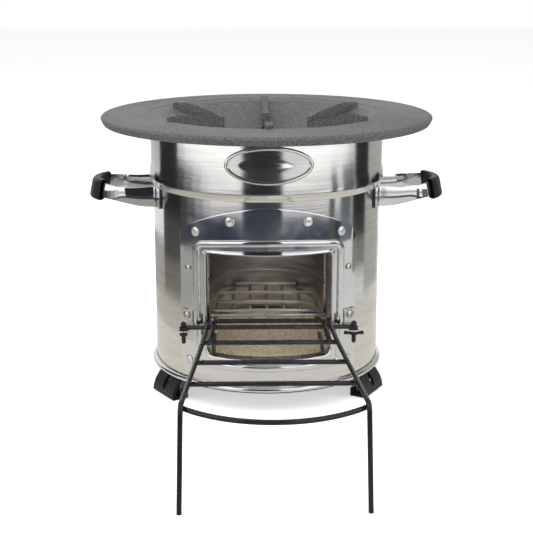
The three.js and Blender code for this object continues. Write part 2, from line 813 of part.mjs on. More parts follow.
function buildFrameFasteners() {
  const tailTop = shellInner - seatGap;
  const seat = frameOuter + seatGap;
  const rivetProfile = [
    point(0, tailTop - rivetTailHeight), point(rivetTail, tailTop - rivetTailHeight),
    point(rivetTail, tailTop), point(rivetShank, tailTop), point(rivetShank, seat), point(rivetHead, seat),
    ...arc(0, seat, rivetHead, rivetHeadHeight, 30, 65, 1),
    point(rivetHole, seat + rivetHeadHeight / 2), point(0, seat + rivetHeadHeight / 2),
  ];
  const rivet = revolved(rivetProfile, pinSegments);
  const frameScrew = panScrew(seat, screwHead);
  const bracketScrew = panScrew(bracketOuter + seatGap, bracketScrewHead);
  for (const [side, word] of [[-1, 'left'], [1, 'right']]) {
    rivetPlaces.forEach(([offset, height], i) => {
      const group = turned(frontAngle(side * offset, frameOuter));
      placeFront(addPiece(`frame_rivet_${word}_${i + 1}`, rivet, aluminium, group), height);
    });
    const frameGroup = turned(frontAngle(side * frameScrewOffset, frameOuter));
    placeFront(addPiece(`frame_screw_${word}`, frameScrew, zincSteel, frameGroup), frameScrewHeight);
    const bracketGroup = turned(side * bracketAngle);
    placeFront(addPiece(`bracket_screw_${word}`, bracketScrew, zincSteel, bracketGroup), bracketScrewHeight);
  }
}

// A pan-head screw whose axis is Z, with its head's underside at the given radius.
function panScrew(seat, headRadius) {
  const top = seat + screwHeadHeight;
  const profile = [
    point(0, shellInner - rivetTailHeight), point(screwShank, shellInner - rivetTailHeight),
    point(screwShank, seat), point(headRadius, seat),
    ...arc(0, seat, headRadius, screwHeadHeight, 30, 90, 2),
  ];
  const screw = solid(revolved(profile, pinSegments));
  const slotHalf = headRadius * Math.SQRT1_2;
  const slotSide = screwSlotWidth / 2;
  const slot = block(-slotHalf, slotHalf, -slotSide, slotSide, top - screwSlotDepth, top + screwHeadHeight);
  return screw.subtract(solid(slot));
}

// A piece turned about Z is laid along the radius, facing the front of its group.
function placeFront(mesh, height) {
  mesh.rotation.x = Math.PI / 2;
  mesh.position.z = height;
}

function buildStandBrackets() {
  const half = bracketWidth / 2;
  const turn = radians(bracketAngle);
  const leg = block(-half, half, -bracketOuter, -bracketInner, bracketBottom, bracketTop).rotateZ(turn);
  const root = [-half, half].map((x) => new THREE.Vector3(x, -(bracketInner + bracketOuter) / 2, 0));
  const [inner, outer] = root.map((corner) => corner.applyAxisAngle(new THREE.Vector3(0, 0, 1), turn));
  const shelf = new THREE.Shape();
  shelf.moveTo(inner.x, inner.y);
  shelf.absarc(boltOffset, boltedBarY, shelfTipRadius, -Math.PI, 0);
  shelf.lineTo(outer.x, outer.y);
  const bore = new THREE.Path().absarc(boltOffset, boltedBarY, boltRadius + seatGap, 0, 2 * Math.PI);
  shelf.holes.push(bore);
  const screwHole = facingFront(disc(screwShank + seatGap, -cutOverrun, cutOverrun, pinSegments),
    bracketInner, bracketScrewHeight).rotateZ(turn);
  const plate = lying(shelf, bracketBottom, shelfTop, pinSegments / 2);
  const right = geometryOf(solid(leg).add(solid(plate)).subtract(solid(screwHole)));
  addPiece('stand_bracket_right', right, zincSteel);
  addPiece('stand_bracket_left', mirrored(right), zincSteel);
}

function buildStandBolts() {
  const seat = eyeTop + seatGap;
  const tipRound = arc(0, boltTip + boltRadius, boltRadius, boltRadius, -90, 0, 3);
  const headRound = arc(0, seat + boltHeadHeight / 2, boltHead, boltHeadHeight / 2, 0, 90, 3);
  const profile = [...tipRound, point(boltRadius, seat), point(boltHead, seat), ...headRound];
  const bolt = revolved(profile, pinSegments);
  addPiece('bracket_bolt_left', bolt, blackPaint).position.set(-boltOffset, boltedBarY, 0);
  addPiece('bracket_bolt_right', bolt, blackPaint).position.set(boltOffset, boltedBarY, 0);
}

// A wing nut on the stand bolt: a round boss and two lobes that widen to their tips.
function wingNut() {
  const top = bracketBottom - seatGap;
  const bottom = top - nutHeight;
  const lobe = new THREE.Shape();
  const tip = wingReach - nutHeight / 2;
  lobe.moveTo(0, bottom);
  lobe.lineTo(tip, bottom);
  lobe.absarc(tip, bottom + nutHeight / 2, nutHeight / 2, -Math.PI / 2, Math.PI / 2);
  lobe.lineTo(nutRadius, top - wingTipRise / 2);
  lobe.lineTo(0, top - wingTipRise / 2);
  const wing = standing(lobe, -wingThickness / 2, wingThickness / 2);
  const bore = disc(boltRadius + seatGap, bottom - cutOverrun, top + cutOverrun, pinSegments);
  const body = solid(disc(nutRadius, bottom, top, pinSegments)).add(solid(wing));
  return body.add(solid(wing.clone().rotateZ(Math.PI))).subtract(solid(bore));
}

function buildWingNuts() {
  const nut = wingNut();
  const left = addPiece('wing_nut_left', nut, blackPaint);
  left.position.set(-boltOffset, boltedBarY, 0);
  left.rotation.z = Math.PI / 2;
  addPiece('wing_nut_right', nut, blackPaint).position.set(boltOffset, boltedBarY, 0);
}

// The bolted bar ends in flattened eyes that lie on the brackets' shelves.
function buildBoltedBar() {
  const endX = boltOffset - (eyeRadius + boltRadius + seatGap) / 2;
  const ends = [-endX, endX].map((x) => [x, boltedBarY, crossWireHeight]);
  let bar = solid(straightWire(...ends, standWireRadius));
  const eye = new THREE.Shape().absarc(0, 0, eyeRadius, 0, 2 * Math.PI);
  eye.holes.push(new THREE.Path().absarc(0, 0, boltRadius + seatGap, 0, 2 * Math.PI));
  for (const side of [-1, 1]) {
    const ringSolid = lying(eye, eyeTop - eyeThickness, eyeTop, pinSegments / 2);
    bar = bar.add(solid(ringSolid.translate(side * boltOffset, boltedBarY, 0)));
  }
  addPiece('stand_bolted_bar', bar, blackPaint);
}

// The leg's distance from the middle at a given reach in front of the axis.
function legOffset(reach) {
  const [from, to, low, high] = reach < legMidReach
    ? [legBackReach, legMidReach, legBackHalfWidth, legMidHalfWidth]
    : [legMidReach, legKneeReach, legMidHalfWidth, legKneeHalfWidth];
  return THREE.MathUtils.mapLinear(reach, from, to, low, high);
}

function buildStand() {
  const loopCorners = [
    [-loopTipHalfWidth, standY(loopTipReach), longWireHeight], [-loopBackHalfWidth, standY(loopBackReach), longWireHeight],
    [loopBackHalfWidth, standY(loopBackReach), longWireHeight], [loopTipHalfWidth, standY(loopTipReach), longWireHeight],
  ];
  addPiece('stand_loop', bentWire(loopCorners, [loopBend, loopBend], standWireRadius), blackPaint);
  buildBoltedBar();
  crossBarReaches.forEach((reach, i) => {
    const end = legOffset(reach) + crossBarOverhang;
    const ends = [-end, end].map((x) => [x, standY(reach), crossWireHeight]);
    addPiece(`stand_cross_bar_${i + 1}`, straightWire(...ends, standWireRadius), blackPaint);
  });
  const drop = longWireHeight + standWireRadius;
  const footX = legFootHalfWidth + (legFootHalfWidth - legKneeHalfWidth) * standWireRadius / longWireHeight;
  const footReach = legFootReach + (legFootReach - legKneeReach) * standWireRadius / longWireHeight;
  const legCorners = [
    [legBackHalfWidth, standY(legBackReach), longWireHeight],
    [legMidHalfWidth, standY(legMidReach), longWireHeight],
    [legKneeHalfWidth, standY(legKneeReach), longWireHeight],
    [footX, standY(footReach), longWireHeight - drop],
  ];
  const under = block(0, footX + cutOverrun, standY(footReach) - cutOverrun, 0, -drop, 0);
  const leg = geometryOf(solid(bentWire(legCorners, [0, legBend], standWireRadius)).subtract(solid(under)));
  addPiece('stand_leg_right', leg, blackPaint);
  addPiece('stand_leg_left', mirrored(leg), blackPaint);
  addPiece('stand_front_arc', frontArc(), blackPaint);
}

function frontArc() {
  const halfChord = legOffset(arcEndReach);
  const radius = (halfChord ** 2 + arcRise ** 2) / (2 * arcRise);
  const halfTurn = Math.asin(halfChord / radius);
  const places = [];
  for (let i = 0; i <= arcSteps; i += 1) {
    const angle = halfTurn * (2 * i / arcSteps - 1);
    const reach = arcTipReach - radius * (1 - Math.cos(angle));
    places.push(new THREE.Vector3(radius * Math.sin(angle), standY(reach), crossWireHeight));
  }
  return wire(new BentLine(places, places.slice(2).map(() => 0)), standWireRadius);
}

// The tunnel is a sheet-steel duct whose floor runs on under the chamber.
function buildTunnel() {
  const outer = tunnelHalfWidth + tunnelSheet;
  const front = -shellRadius;
  const bottom = tunnelFloor - tunnelSheet;
  const duct = solid(block(-outer, outer, front, -tunnelBack, bottom, tunnelTop + tunnelSheet));
  const hollow = block(-tunnelHalfWidth, tunnelHalfWidth, front - cutOverrun, cutOverrun,
    tunnelFloor, tunnelTop);
  const drum = disc(tunnelFrontRadius, 0, tunnelTop + cutOverrun);
  const stack = disc(chamberOuter + seatGap, tunnelFloor, tunnelTop + cutOverrun, chamberSegments);
  let tunnel = duct.subtract(solid(hollow)).intersect(solid(drum)).subtract(solid(stack));
  tunnel = tunnel.add(solid(disc(outer, bottom, tunnelFloor, chamberSegments)));
  for (const side of [-1, 1]) {
    const wall = side * (tunnelHalfWidth + tunnelSheet / 2);
    const tip = side * (tunnelHalfWidth - ledgeWidth);
    const ledge = block(Math.min(wall, tip), Math.max(wall, tip), -ledgeFront, ledgeLength - ledgeFront,
      ledgeTop - ledgeSheet, ledgeTop);
    tunnel = tunnel.add(solid(ledge));
  }
  addPiece('fuel_tunnel', tunnel, darkSteel);
}

function buildChamber() {
  const low = chamberBeadHeight - chamberBeadHalf;
  const high = chamberBeadHeight + chamberBeadHalf;
  const wallLine = [
    [0, chamberFoot], [0, low], [chamberBeadProud, low + chamberBeadHalf - chamberBeadFlat],
    [chamberBeadProud, high - chamberBeadHalf + chamberBeadFlat], [0, high], [0, chamberTop],
  ];
  const outside = wallLine.map(([proud, height]) => point(chamberOuter + proud, height));
  const inside = wallLine.map(([proud, height]) => point(chamberRadius + proud, height)).reverse();
  const profile = [...outside, ...inside, outside[0]];
  const gate = block(-chamberRadius - cutOverrun, chamberRadius + cutOverrun, -chamberRadius - cutOverrun,
    -tunnelBack - seatGap, 0, tunnelTop);
  const pegDrill = disc(pegRadius + seatGap, -cutOverrun, cutOverrun, pinSegments);
  const pegHole = facingFront(pegDrill, -chamberRadius, pegHeight);
  const chamber = solid(revolved(profile, chamberSegments)).subtract(solid(gate)).subtract(solid(pegHole));
  addPiece('combustion_chamber', chamber, darkSteel);
}

function buildInsulation() {
  const slabTop = tunnelFloor - tunnelSheet - seatGap;
  const outer = shellInner - insulationGap;
  const profile = [
    point(0, shellFoot), point(outer, shellFoot), point(outer, insulationTop),
    point(insulationBore, insulationTop), point(insulationBore, slabTop), point(0, slabTop),
  ];
  const halfWidth = tunnelHalfWidth + tunnelSheet + seatGap;
  const duct = block(-halfWidth, halfWidth, -shellRadius - cutOverrun, -tunnelBack, slabTop,
    tunnelTop + tunnelSheet + seatGap);
  const bed = disc(halfWidth, slabTop, tunnelFloor + seatGap, chamberSegments);
  const packing = solid(revolved(profile, chamberSegments)).subtract(solid(duct)).subtract(solid(bed));
  addPiece('insulation', packing, mineralWool);
}

// The grate's cross bars lie on a frame of five rails and a side wire bent round the back.
function buildGrate() {
  const inset = grateBarRadius / 2;
  const sides = [...grateBars].reverse().map(([reach, halfWidth]) => [halfWidth - inset, -reach]);
  sides[0] = [grateFrontHalfWidth, -grateFront];
  const right = sides.map(([x, y]) => new THREE.Vector3(x, y, grateRailHeight));
  const left = sides.map(([x, y]) => new THREE.Vector3(-x, y, grateRailHeight)).reverse();
  const tip = new THREE.Vector3(0, grateBackReach, grateRailHeight);
  const sideLine = new THREE.CatmullRomCurve3([...right, tip, ...left]);
  let frame = solid(wire(sideLine, grateSideRadius, grateSides, grateSideSteps));
  for (const x of grateRailPlaces) {
    const front = [x, -grateRailFront, grateRailHeight];
    const back = [x, railBack(sideLine, x), grateRailHeight];
    frame = frame.add(solid(straightWire(front, back, grateRailRadius, grateSides)));
  }
  addPiece('grate_frame', frame, darkSteel);
  grateBars.forEach(([reach, halfWidth], i) => {
    const ends = [-halfWidth, halfWidth].map((x) => [x, -reach, grateHeight]);
    addPiece(`grate_bar_${i + 1}`, straightWire(...ends, grateBarRadius, grateSides), darkSteel);
  });
}

// Where the side wire's back part crosses a rail's line.
function railBack(sideLine, x) {
  const back = sideLine.getPoints(80).filter((place) => place.y > 0);
  return back.reduce((best, place) => (Math.abs(place.x - x) < Math.abs(best.x - x) ? place : best)).y;
}

function buildGratePeg() {
  const inner = chamberRadius - pegReach;
  const profile = [
    point(0, inner), point(pegRadius, inner), point(pegRadius, chamberOuter + seatGap),
    point(pegHead, chamberOuter + seatGap), point(pegHead, chamberOuter + seatGap + pegHeadThickness),
    point(0, chamberOuter + seatGap + pegHeadThickness),
  ];
  placeFront(addPiece('grate_peg', revolved(profile, pinSegments), zincSteel, turned(180)), pegHeight);
}

function buildTile() {
  const bottom = tunnelFloor + seatGap;
  const top = bottom + tileHeight;
  const side = tunnelBack + chamberSheet + 2 * seatGap;
  const outline = new THREE.Shape();
  outline.moveTo(-tileHalfWidth, -tileFront);
  outline.lineTo(tileHalfWidth, -tileFront);
  outline.lineTo(tileHalfWidth, -side);
  const dip = Math.asin(side / tileBackRadius);
  outline.absarc(0, 0, tileBackRadius, -dip, Math.PI + dip);
  outline.lineTo(-tileHalfWidth, -side);
  const drum = solid(disc(tunnelFrontRadius, 0, top + cutOverrun));
  let tile = solid(lying(outline, bottom, top, chamberSegments / 4));
  for (const sign of [-1, 1]) {
    const middle = sign * tileRailOffset;
    const groove = block(middle - tileGrooveWidth / 2, middle + tileGrooveWidth / 2, -tileFront - cutOverrun,
      -tileRailBack + seatGap, top - tileGrooveDepth, top + cutOverrun);
    tile = tile.subtract(solid(groove));
    const railSide = tileGrooveWidth / 2 - seatGap;
    const railBottom = top - tileGrooveDepth + seatGap;
    const rail = block(middle - railSide, middle + railSide, -tileFront, -tileRailBack,
      railBottom, railBottom + tileRailHeight);
    addPiece(sign < 0 ? 'tile_rail_left' : 'tile_rail_right', solid(rail).intersect(drum), zincSteel);
  }
  for (const x of tileBumpPlaces) {
    const bump = disc(tileBumpRadius, bottom, bottom + tileBumpHeight, pinSegments);
    tile = tile.add(solid(bump.translate(x, -tileFront, 0)));
  }
  addPiece('floor_tile', tile.intersect(drum), firedClay);
}

// A foot is an open channel: outer wall, floor and a low inner wall, with a slot at the top.
function buildFeet() {
  const outerLine = [
    [footToeRadius - footToeHeight, 0], [footToeRadius, footToeHeight],
    [footChamferRadius, footChamferHeight],
    [footKneeRadius, footKneeHeight], [footTopRadius, footTop],
  ];
  const shape = new THREE.Shape([
    ...outerLine.map(([radius, height]) => point(radius, height)),
    point(footTopRadius - footWall, footTop), point(footKneeRadius - footWall, footKneeHeight - footWall / 4),
    point(footChamferRadius - footWall, footChamferHeight - footWall / 4),
    point(footChamferRadius - footWall, footFloor), point(footInnerRadius + footWall, footFloor),
    point(footInnerRadius + footWall, footInnerWallHeight), point(footInnerRadius, footInnerWallHeight),
    point(footInnerRadius, 0),
  ]);
  const slotBottom = footTop - footSlotDepth;
  const slotHalf = footSlotWidth / 2;
  const slotShape = new THREE.Shape();
  slotShape.moveTo(slotHalf, footTop + cutOverrun);
  slotShape.lineTo(-slotHalf, footTop + cutOverrun);
  slotShape.absarc(0, slotBottom + slotHalf, slotHalf, Math.PI, 2 * Math.PI);
  const slot = standing(slotShape, -footToeRadius - cutOverrun, -footTopRadius + 2 * footWall);
  const foot = geometryOf(solid(radialSlab(shape, footWidth)).subtract(solid(slot)));
  footAngles.forEach((degrees, i) => addPiece(`foot_${i + 1}`, foot, blackPlastic, turned(degrees)));
}

function buildFootBrackets() {
  const outer = footTopRadius - footWall - seatGap;
  const inner = outer - footBracketReach;
  const wellInner = footInnerRadius + footWall + seatGap;
  const bottom = footFloor + seatGap;
  const cheek = new THREE.Shape([
    point(outer, footTop), point(inner, footTop), point(inner, footTop - 2 * footBracketSheet),
    point(wellInner, footInnerWallHeight), point(wellInner, bottom), point(outer, bottom),
  ]);
  const half = footBracketWidth / 2;
  const cavity = block(-half + footBracketSheet, half - footBracketSheet, -outer - cutOverrun, 0,
    0, footTop - footBracketSheet);
  const bracket = geometryOf(solid(radialSlab(cheek, footBracketWidth)).subtract(solid(cavity)));
  footAngles.forEach((degrees, i) => addPiece(`foot_bracket_${i + 1}`, bracket, zincSteel, turned(degrees)));
}

// The plan of the right handle's strap, from one flange on the shell to the other.
function strapLine() {
  const seat = shellRadius + seatGap + strapSheet / 2;
  const rootAngle = Math.asin(handleArmOffset / seat);
  const rootX = seat * Math.cos(rootAngle);
  const flangeTurn = rootAngle + strapFlange / seat / 2;
  const along = new THREE.Vector3(-Math.sin(flangeTurn), Math.cos(flangeTurn), 0);
  const touch = new THREE.Vector3(Math.cos(flangeTurn), Math.sin(flangeTurn), 0).multiplyScalar(seat);
  const tip = touch.clone().addScaledVector(along, strapFlange / 2);
  const root = touch.clone().addScaledVector(along, (handleArmOffset - touch.y) / along.y);
  const middleX = (rootX + handleEnd - handleArmOffset) / 2;
  const half = [
    tip, root, new THREE.Vector3(middleX, handleArmOffset, 0),
    new THREE.Vector3(handleEnd, handleArmOffset, 0),
  ];
  const other = half.map((place) => place.clone().setY(-place.y)).reverse();
  const bends = [strapBend, 0, handleArmOffset, handleArmOffset, 0, strapBend];
  return new BentLine([...half, ...other], bends);
}

function strapHeights(x) {
  const share = THREE.MathUtils.clamp((x - strapRampStart) / (strapRampEnd - strapRampStart), 0, 1);
  const eased = THREE.MathUtils.smoothstep(share, 0, 1);
  return {
    bottom: THREE.MathUtils.lerp(strapBottomAtBody, strapBottomAtGrip, eased),
    top: THREE.MathUtils.lerp(strapTopAtBody, strapTopAtGrip, eased) - strapDip * Math.sin(Math.PI * share),
    lean: Math.tan(radians(gripLean)) * THREE.MathUtils.smoothstep(share, 0.5, 1),
  };
}

// One cross-section of the strap or of what surrounds it, as points round its middle.
function handleSection(place, tangent, section) {
  const out = new THREE.Vector3(-tangent.y, tangent.x, 0).multiplyScalar(-1);
  const { bottom, top, lean } = strapHeights(place.x);
  const middle = (bottom + top) / 2;
  return section(bottom, top).map(([side, height]) => {
    const shift = side - lean * (height - middle);
    return new THREE.Vector3(place.x, place.y, height).addScaledVector(out, shift);
  });
}

function strapSection(margin) {
  const half = strapSheet / 2 + margin;
  return (bottom, top) => [
    [-half, bottom - margin], [half, bottom - margin], [half, top + margin], [-half, top + margin],
  ];
}

function gripSection(bottom, top) {
  const halfHeight = gripHeight / 2 - gripCorner;
  const halfWidth = gripThickness / 2 - gripCorner;
  const middle = (bottom + top) / 2;
  const corners = [[halfWidth, halfHeight, 0], [-halfWidth, halfHeight, 90],
    [-halfWidth, -halfHeight, 180], [halfWidth, -halfHeight, 270]];
  const round = ([side, rise, from]) => arc(side, middle + rise, gripCorner, gripCorner, from, from + 90, 1);
  return corners.flatMap(round).map((place) => [place.x, place.y]);
}

function pocketSection(bottom, top) {
  const half = gripPocketWidth / 2;
  return [[-half, bottom - gripPocketRise], [half, bottom - gripPocketRise],
    [half, top + gripPocketRise], [-half, top + gripPocketRise]];
}

// Lofts a section along the round end of the handle between two angles.
function alongGrip(fromDegrees, toDegrees, steps, section) {
  const centreX = handleEnd - handleArmOffset;
  const rings = [];
  for (let i = 0; i <= steps; i += 1) {
    const angle = radians(THREE.MathUtils.lerp(fromDegrees, toDegrees, i / steps));
    const place = new THREE.Vector3(Math.cos(angle), Math.sin(angle), 0).multiplyScalar(handleArmOffset);
    place.x += centreX;
    rings.push(handleSection(place, new THREE.Vector3(Math.sin(angle), -Math.cos(angle), 0), section));
  }
  return loft(rings, false);
}

function buildHandles() {
  const line = strapLine();
  const ringAt = (place, i) => handleSection(place, line.tangents[i], strapSection(0));
  const strap = loft(line.points.map(ringAt), false);
  const beyond = gripHalfAngle + THREE.MathUtils.radToDeg(gripPocketDepth / handleArmOffset);
  const pocketEnd = gripHalfAngle - THREE.MathUtils.radToDeg(gripPocketDepth / handleArmOffset);
  let grip = solid(alongGrip(-gripHalfAngle, gripHalfAngle, gripSteps, gripSection));
  grip = grip.subtract(solid(alongGrip(-beyond, beyond, gripSlotSteps, strapSection(seatGap))));
  for (const side of [-1, 1]) {
    grip = grip.subtract(solid(alongGrip(side * pocketEnd, side * beyond, 2, pocketSection)));
  }
  const rightGrip = geometryOf(grip);
  addPiece('handle_strap_right', strap, polishedSteel);
  addPiece('handle_strap_left', mirrored(strap), polishedSteel);
  addPiece('handle_grip_right', rightGrip, blackPlastic);
  addPiece('handle_grip_left', mirrored(rightGrip), blackPlastic);
}

buildBasePan();
buildFeet();
buildFootBrackets();
buildShell();
buildInsulation();
buildTunnel();
buildChamber();
buildGratePeg();
buildGrate();
buildTile();
buildDoorFrame();
buildFrameFasteners();
buildStandBrackets();
buildStandBolts();
buildWingNuts();
buildStand();
buildHandles();
buildCollar();
buildCooktop();
buildCooktopBolts();

// The frame's origin is at the middle of the whole footprint, stove and stand together.
const footprint = new THREE.Box3().setFromObject(stove, true).getCenter(new THREE.Vector3());
stove.position.y = -footprint.y;

export default stove;
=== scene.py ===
"""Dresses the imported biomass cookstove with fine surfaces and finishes, on a pale stage."""

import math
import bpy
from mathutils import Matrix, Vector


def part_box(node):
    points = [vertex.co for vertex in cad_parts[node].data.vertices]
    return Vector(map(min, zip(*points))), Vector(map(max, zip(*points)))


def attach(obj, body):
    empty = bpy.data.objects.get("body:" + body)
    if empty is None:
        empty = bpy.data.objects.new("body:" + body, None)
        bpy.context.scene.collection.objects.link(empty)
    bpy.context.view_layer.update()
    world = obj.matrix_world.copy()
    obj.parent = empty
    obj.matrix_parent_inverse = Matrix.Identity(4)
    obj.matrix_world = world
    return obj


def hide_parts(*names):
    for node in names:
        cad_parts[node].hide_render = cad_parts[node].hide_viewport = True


bl_info = {
    "name": "Biomass Cookstove",
    "version": (1, 0, 0),
    "blender": (4, 5, 0),
    "location": "3D View > Sidebar > Cookstove",
    "description": "Builds a round steel cookstove with a cast-iron top on its packed frame",
    "category": "Add Mesh",
}

import bmesh
import bpy
from bpy.props import FloatProperty, FloatVectorProperty, IntProperty, PointerProperty
from mathutils import Matrix, Vector

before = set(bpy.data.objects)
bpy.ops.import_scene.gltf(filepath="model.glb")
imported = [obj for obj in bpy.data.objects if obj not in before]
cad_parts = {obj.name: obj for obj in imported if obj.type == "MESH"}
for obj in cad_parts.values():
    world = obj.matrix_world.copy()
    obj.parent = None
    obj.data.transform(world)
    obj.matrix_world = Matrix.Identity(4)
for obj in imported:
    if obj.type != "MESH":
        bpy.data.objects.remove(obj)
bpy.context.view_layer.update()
TOP_LOW, TOP_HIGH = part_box("cooktop")

# Places are measured from the stove's upright axis and the floor, in metres
AXIS = Vector(((TOP_LOW.x + TOP_HIGH.x) / 2, (TOP_LOW.y + TOP_HIGH.y) / 2, 0))
MM = 0.001
GAP = 0.3 * MM
FRONT = -90
FULL_TURN = 2 * math.pi
UP = Vector((0, 0, 1))
SIDES = ((-1, "left"), (1, "right"))
WELD_DISTANCE = 1e-6
FOLD_CORNER = 0.9 * MM
SMALL_CORNER = 0.4 * MM
NEARLY_STRAIGHT = math.radians(165)
CORNER_SHARE = 0.45
CORNER_STEPS = 12
ARCH_STEPS = 40

# Angles in degrees up to which the faces of a piece are shaded as one
PIECE_SMOOTH = 35
COPY_SMOOTH = 30
FASTENER_SMOOTH = 40
BENT_SMOOTH = 50
WIRE_SMOOTH = 60

# Cast-iron top
TOP_EDGE_WIDTH = 4.6 * MM
TOP_EDGE_DROP = 3.2 * MM
TOP_RIM_DEPTH = 9 * MM
TOP_RIM_DRAFT = 3 * MM
TOP_RIM_LAND = 7 * MM
TOP_RIM_SLOPE = 5 * MM
TOP_PLATE = 5.7 * MM
RING_STEP_RADIUS = 126.6 * MM
RING_STEP_WIDTH = 0.8 * MM
RING_STEP_DROP = 0.8 * MM
DISH_RADIUS = 112.5 * MM
THROAT_RADIUS = 56 * MM
THROAT_DEPTH = 26.6 * MM
THROAT_WALL = 5.5 * MM
THROAT_SKIRT = 22 * MM
CONE_WALL_DROP = 6 * MM
CONE_OUTER = 114 * MM
RIB_COUNT = 6
RIB_OUTER_RADIUS = 115 * MM
RIB_END_RISE = 4.2 * MM
RIB_END_CORNER = 1.5 * MM
RIB_TOP_LINE = [(58.5 * MM, -3.8 * MM), (80 * MM, 2.2 * MM), (97 * MM, 5.7 * MM), (113.5 * MM, 4.2 * MM)]
RIB_BEVEL = 0.45 * MM
RIB_NOSE_RADIUS = 53.2 * MM
RIB_NOSE_DROP = 7.6 * MM
RIB_NOSE_DEPTH = 22.6 * MM
RIB_SINK = 4.5 * MM
TOOTHED_FROM = 60 * MM
TOOTHED_TO = 108 * MM

# Collar, body and base pan
SHEET = 1 * MM
COLLAR_TOP = 282.6 * MM
COLLAR_BEAD = [(238.6 * MM, 0), (229.4 * MM, 1.8 * MM), (224 * MM, 1.8 * MM), (217.2 * MM, -0.7 * MM)]
COLLAR_FLANGE = 7 * MM
BODY_TOP = 225 * MM
BODY_FOOT = 22.3 * MM
PAN_HEIGHT = 20.9 * MM
PAN_SHEET = 1.1 * MM
PAN_BEAD_RADIUS = 3.2 * MM
PAN_BEAD_OFFSET = 0.9 * MM
PAN_LIP_WALL = 1 * MM
PAN_LIP_HEIGHT = 7.1 * MM
BADGE_HALF_WIDTH = 41.3 * MM
BADGE_HALF_HEIGHT = 17 * MM
BADGE_HEIGHT = 253.2 * MM
BADGE_RIM_HALF = 2.1 * MM
BADGE_RIM_RISE = 1.6 * MM
BADGE_PLATE_RISE = 0.1 * MM
BADGE_FLAT = [2 * MM, 3.5 * MM, 9 * MM, 14 * MM]
BADGE_SINK = 0.3 * MM
BADGE_POINTS = 120

# Fuel opening, door frame and its raised bead
OPENING_TOP = 163 * MM
OPENING_BOTTOM = 56.1 * MM
OPENING_TOP_CORNER = 3 * MM
OPENING_BOTTOM_CORNER = 8 * MM
THROAT_BACK_RADIUS = 110 * MM
FRAME_HALF_WIDTH = 89.3 * MM
FRAME_BOTTOM = 34.5 * MM
FRAME_TOP = 211.1 * MM
FRAME_ARCH = 162 * MM
FRAME_TOP_CORNER = 20 * MM
FRAME_BOTTOM_CORNER = 5.5 * MM
BEAD_HALF_WIDTH = 72 * MM
BEAD_BOTTOM = 47 * MM
BEAD_TOP = 176.4 * MM
BEAD_ARCH = 471 * MM
BEAD_CORNER = 6.5 * MM
BEAD_HALF = 3.5 * MM
BEAD_SHOULDER = 2.3 * MM
LIP_RADIUS = 1.5 * MM
LIP_RISE = 0.25 * MM
LIP_TURNS = (0, 20, 40, 60, 80)
FRAME_SHEET = 0.7 * MM
FRAME_EDGE_INSET = 0.3 * MM
FLAT_SHARES = (0.03, 0.35, 0.7, 0.97)
LIP_SHARES = (0.08, 0.5, 0.92)
OUTLINE_POINTS = 420

# Fasteners: places are a distance from the middle and a height, rows are shares of the head and depths
RIVETS = [(38.2 * MM, 197 * MM), (72.8 * MM, 183.5 * MM), (81 * MM, 47.3 * MM)]
FRAME_SCREW = (80.7 * MM, 145 * MM)
RIVET_HEAD = 4.8 * MM
RIVET_RISE = 1.6 * MM
RIVET_DOME = 55
RIVET_HOLLOW = [(0.55, 0.95), (0.5, 0.92), (0.46, 0.5), (0.22, 0.42), (0.18, -0.2)]
SCREW_LAND = 0.6 * MM
SCREW_RISE = 2.4 * MM
SCREW_DOME = 48
SIDE_SCREW_HEAD = 3.6 * MM
CLIP_SCREW_HEAD = 4.4 * MM
CROSS_ROWS = [(1, 0.1 * MM), (0.94, 0.4 * MM), (0.8, 1.4 * MM)]
CROSS_WIDTH_SHARE = 0.17
CROSS_REACH_SHARE = 0.62
CROSS_POINTS = 64
SHANK = 1.9 * MM
SHANK_BACK = 118 * MM
FASTENER_STEPS = 40
BRACKET_ANGLE = 42.4
BRACKET_HALF = 8.1 * MM
BRACKET_SHEET = 1.5 * MM
BRACKET_TOP = 101 * MM
BRACKET_BOTTOM = 82.9 * MM
BRACKET_SCREW_HEIGHT = 95.1 * MM
BRACKET_CORNER = 2 * MM
BRACKET_BEVEL = 0.3 * MM
SHELF_TIP = 5 * MM

# Stand: a wire's end narrows to each share of its radius, and goes on by each share of it
WIRE_SIDES = 16
WIRE_END = ((0.8, 0.3), (0.4, 0.5))
BOLT_OFFSET = 85.7 * MM
BOLT_REACH = 108.5 * MM
BOLT_RADIUS = 2.3 * MM
BOLT_HEAD = 2.9 * MM
BOLT_HEAD_HEIGHT = 5.4 * MM
BOLT_TIP = 70 * MM
BOLT_POINT = 1.6 * MM
THREAD_PITCH = 0.8 * MM
THREAD_DEPTH = 0.25 * MM
EYE_RADIUS = 4.2 * MM
EYE_THICKNESS = 3 * MM
EYE_CORNER = 0.5 * MM
EYE_STEPS = 32
NUT_HEIGHT = 3.6 * MM
NUT_RADIUS = 4.2 * MM
NUT_TAPER = 0.5 * MM
WING_REACH = 10.2 * MM
WING_THICKNESS = 2 * MM
WING_ROOT = 0.5 * MM
WING_LIFT = 0.4 * MM
WING_DROP = 1.1 * MM
WING_BEVEL = 0.35 * MM
CROSS_HEIGHT = 87 * MM
LONG_HEIGHT = 91.9 * MM
LOOP_LINE = [(57.3 * MM, 168 * MM), (54.4 * MM, 103 * MM)]
LOOP_BEND = 5 * MM
LEG_LINE = [(60.4 * MM, 101 * MM), (64.3 * MM, 171.5 * MM), (78 * MM, 334 * MM)]
LEG_FOOT = (80.1 * MM, 345.6 * MM)
LEG_BEND = 8 * MM
CROSS_REACHES = [157.2 * MM, 214.5 * MM, 270.7 * MM]
CROSS_OVERHANG = 1.6 * MM
ARC_END_REACH = 326.4 * MM
ARC_TIP_REACH = 359.5 * MM

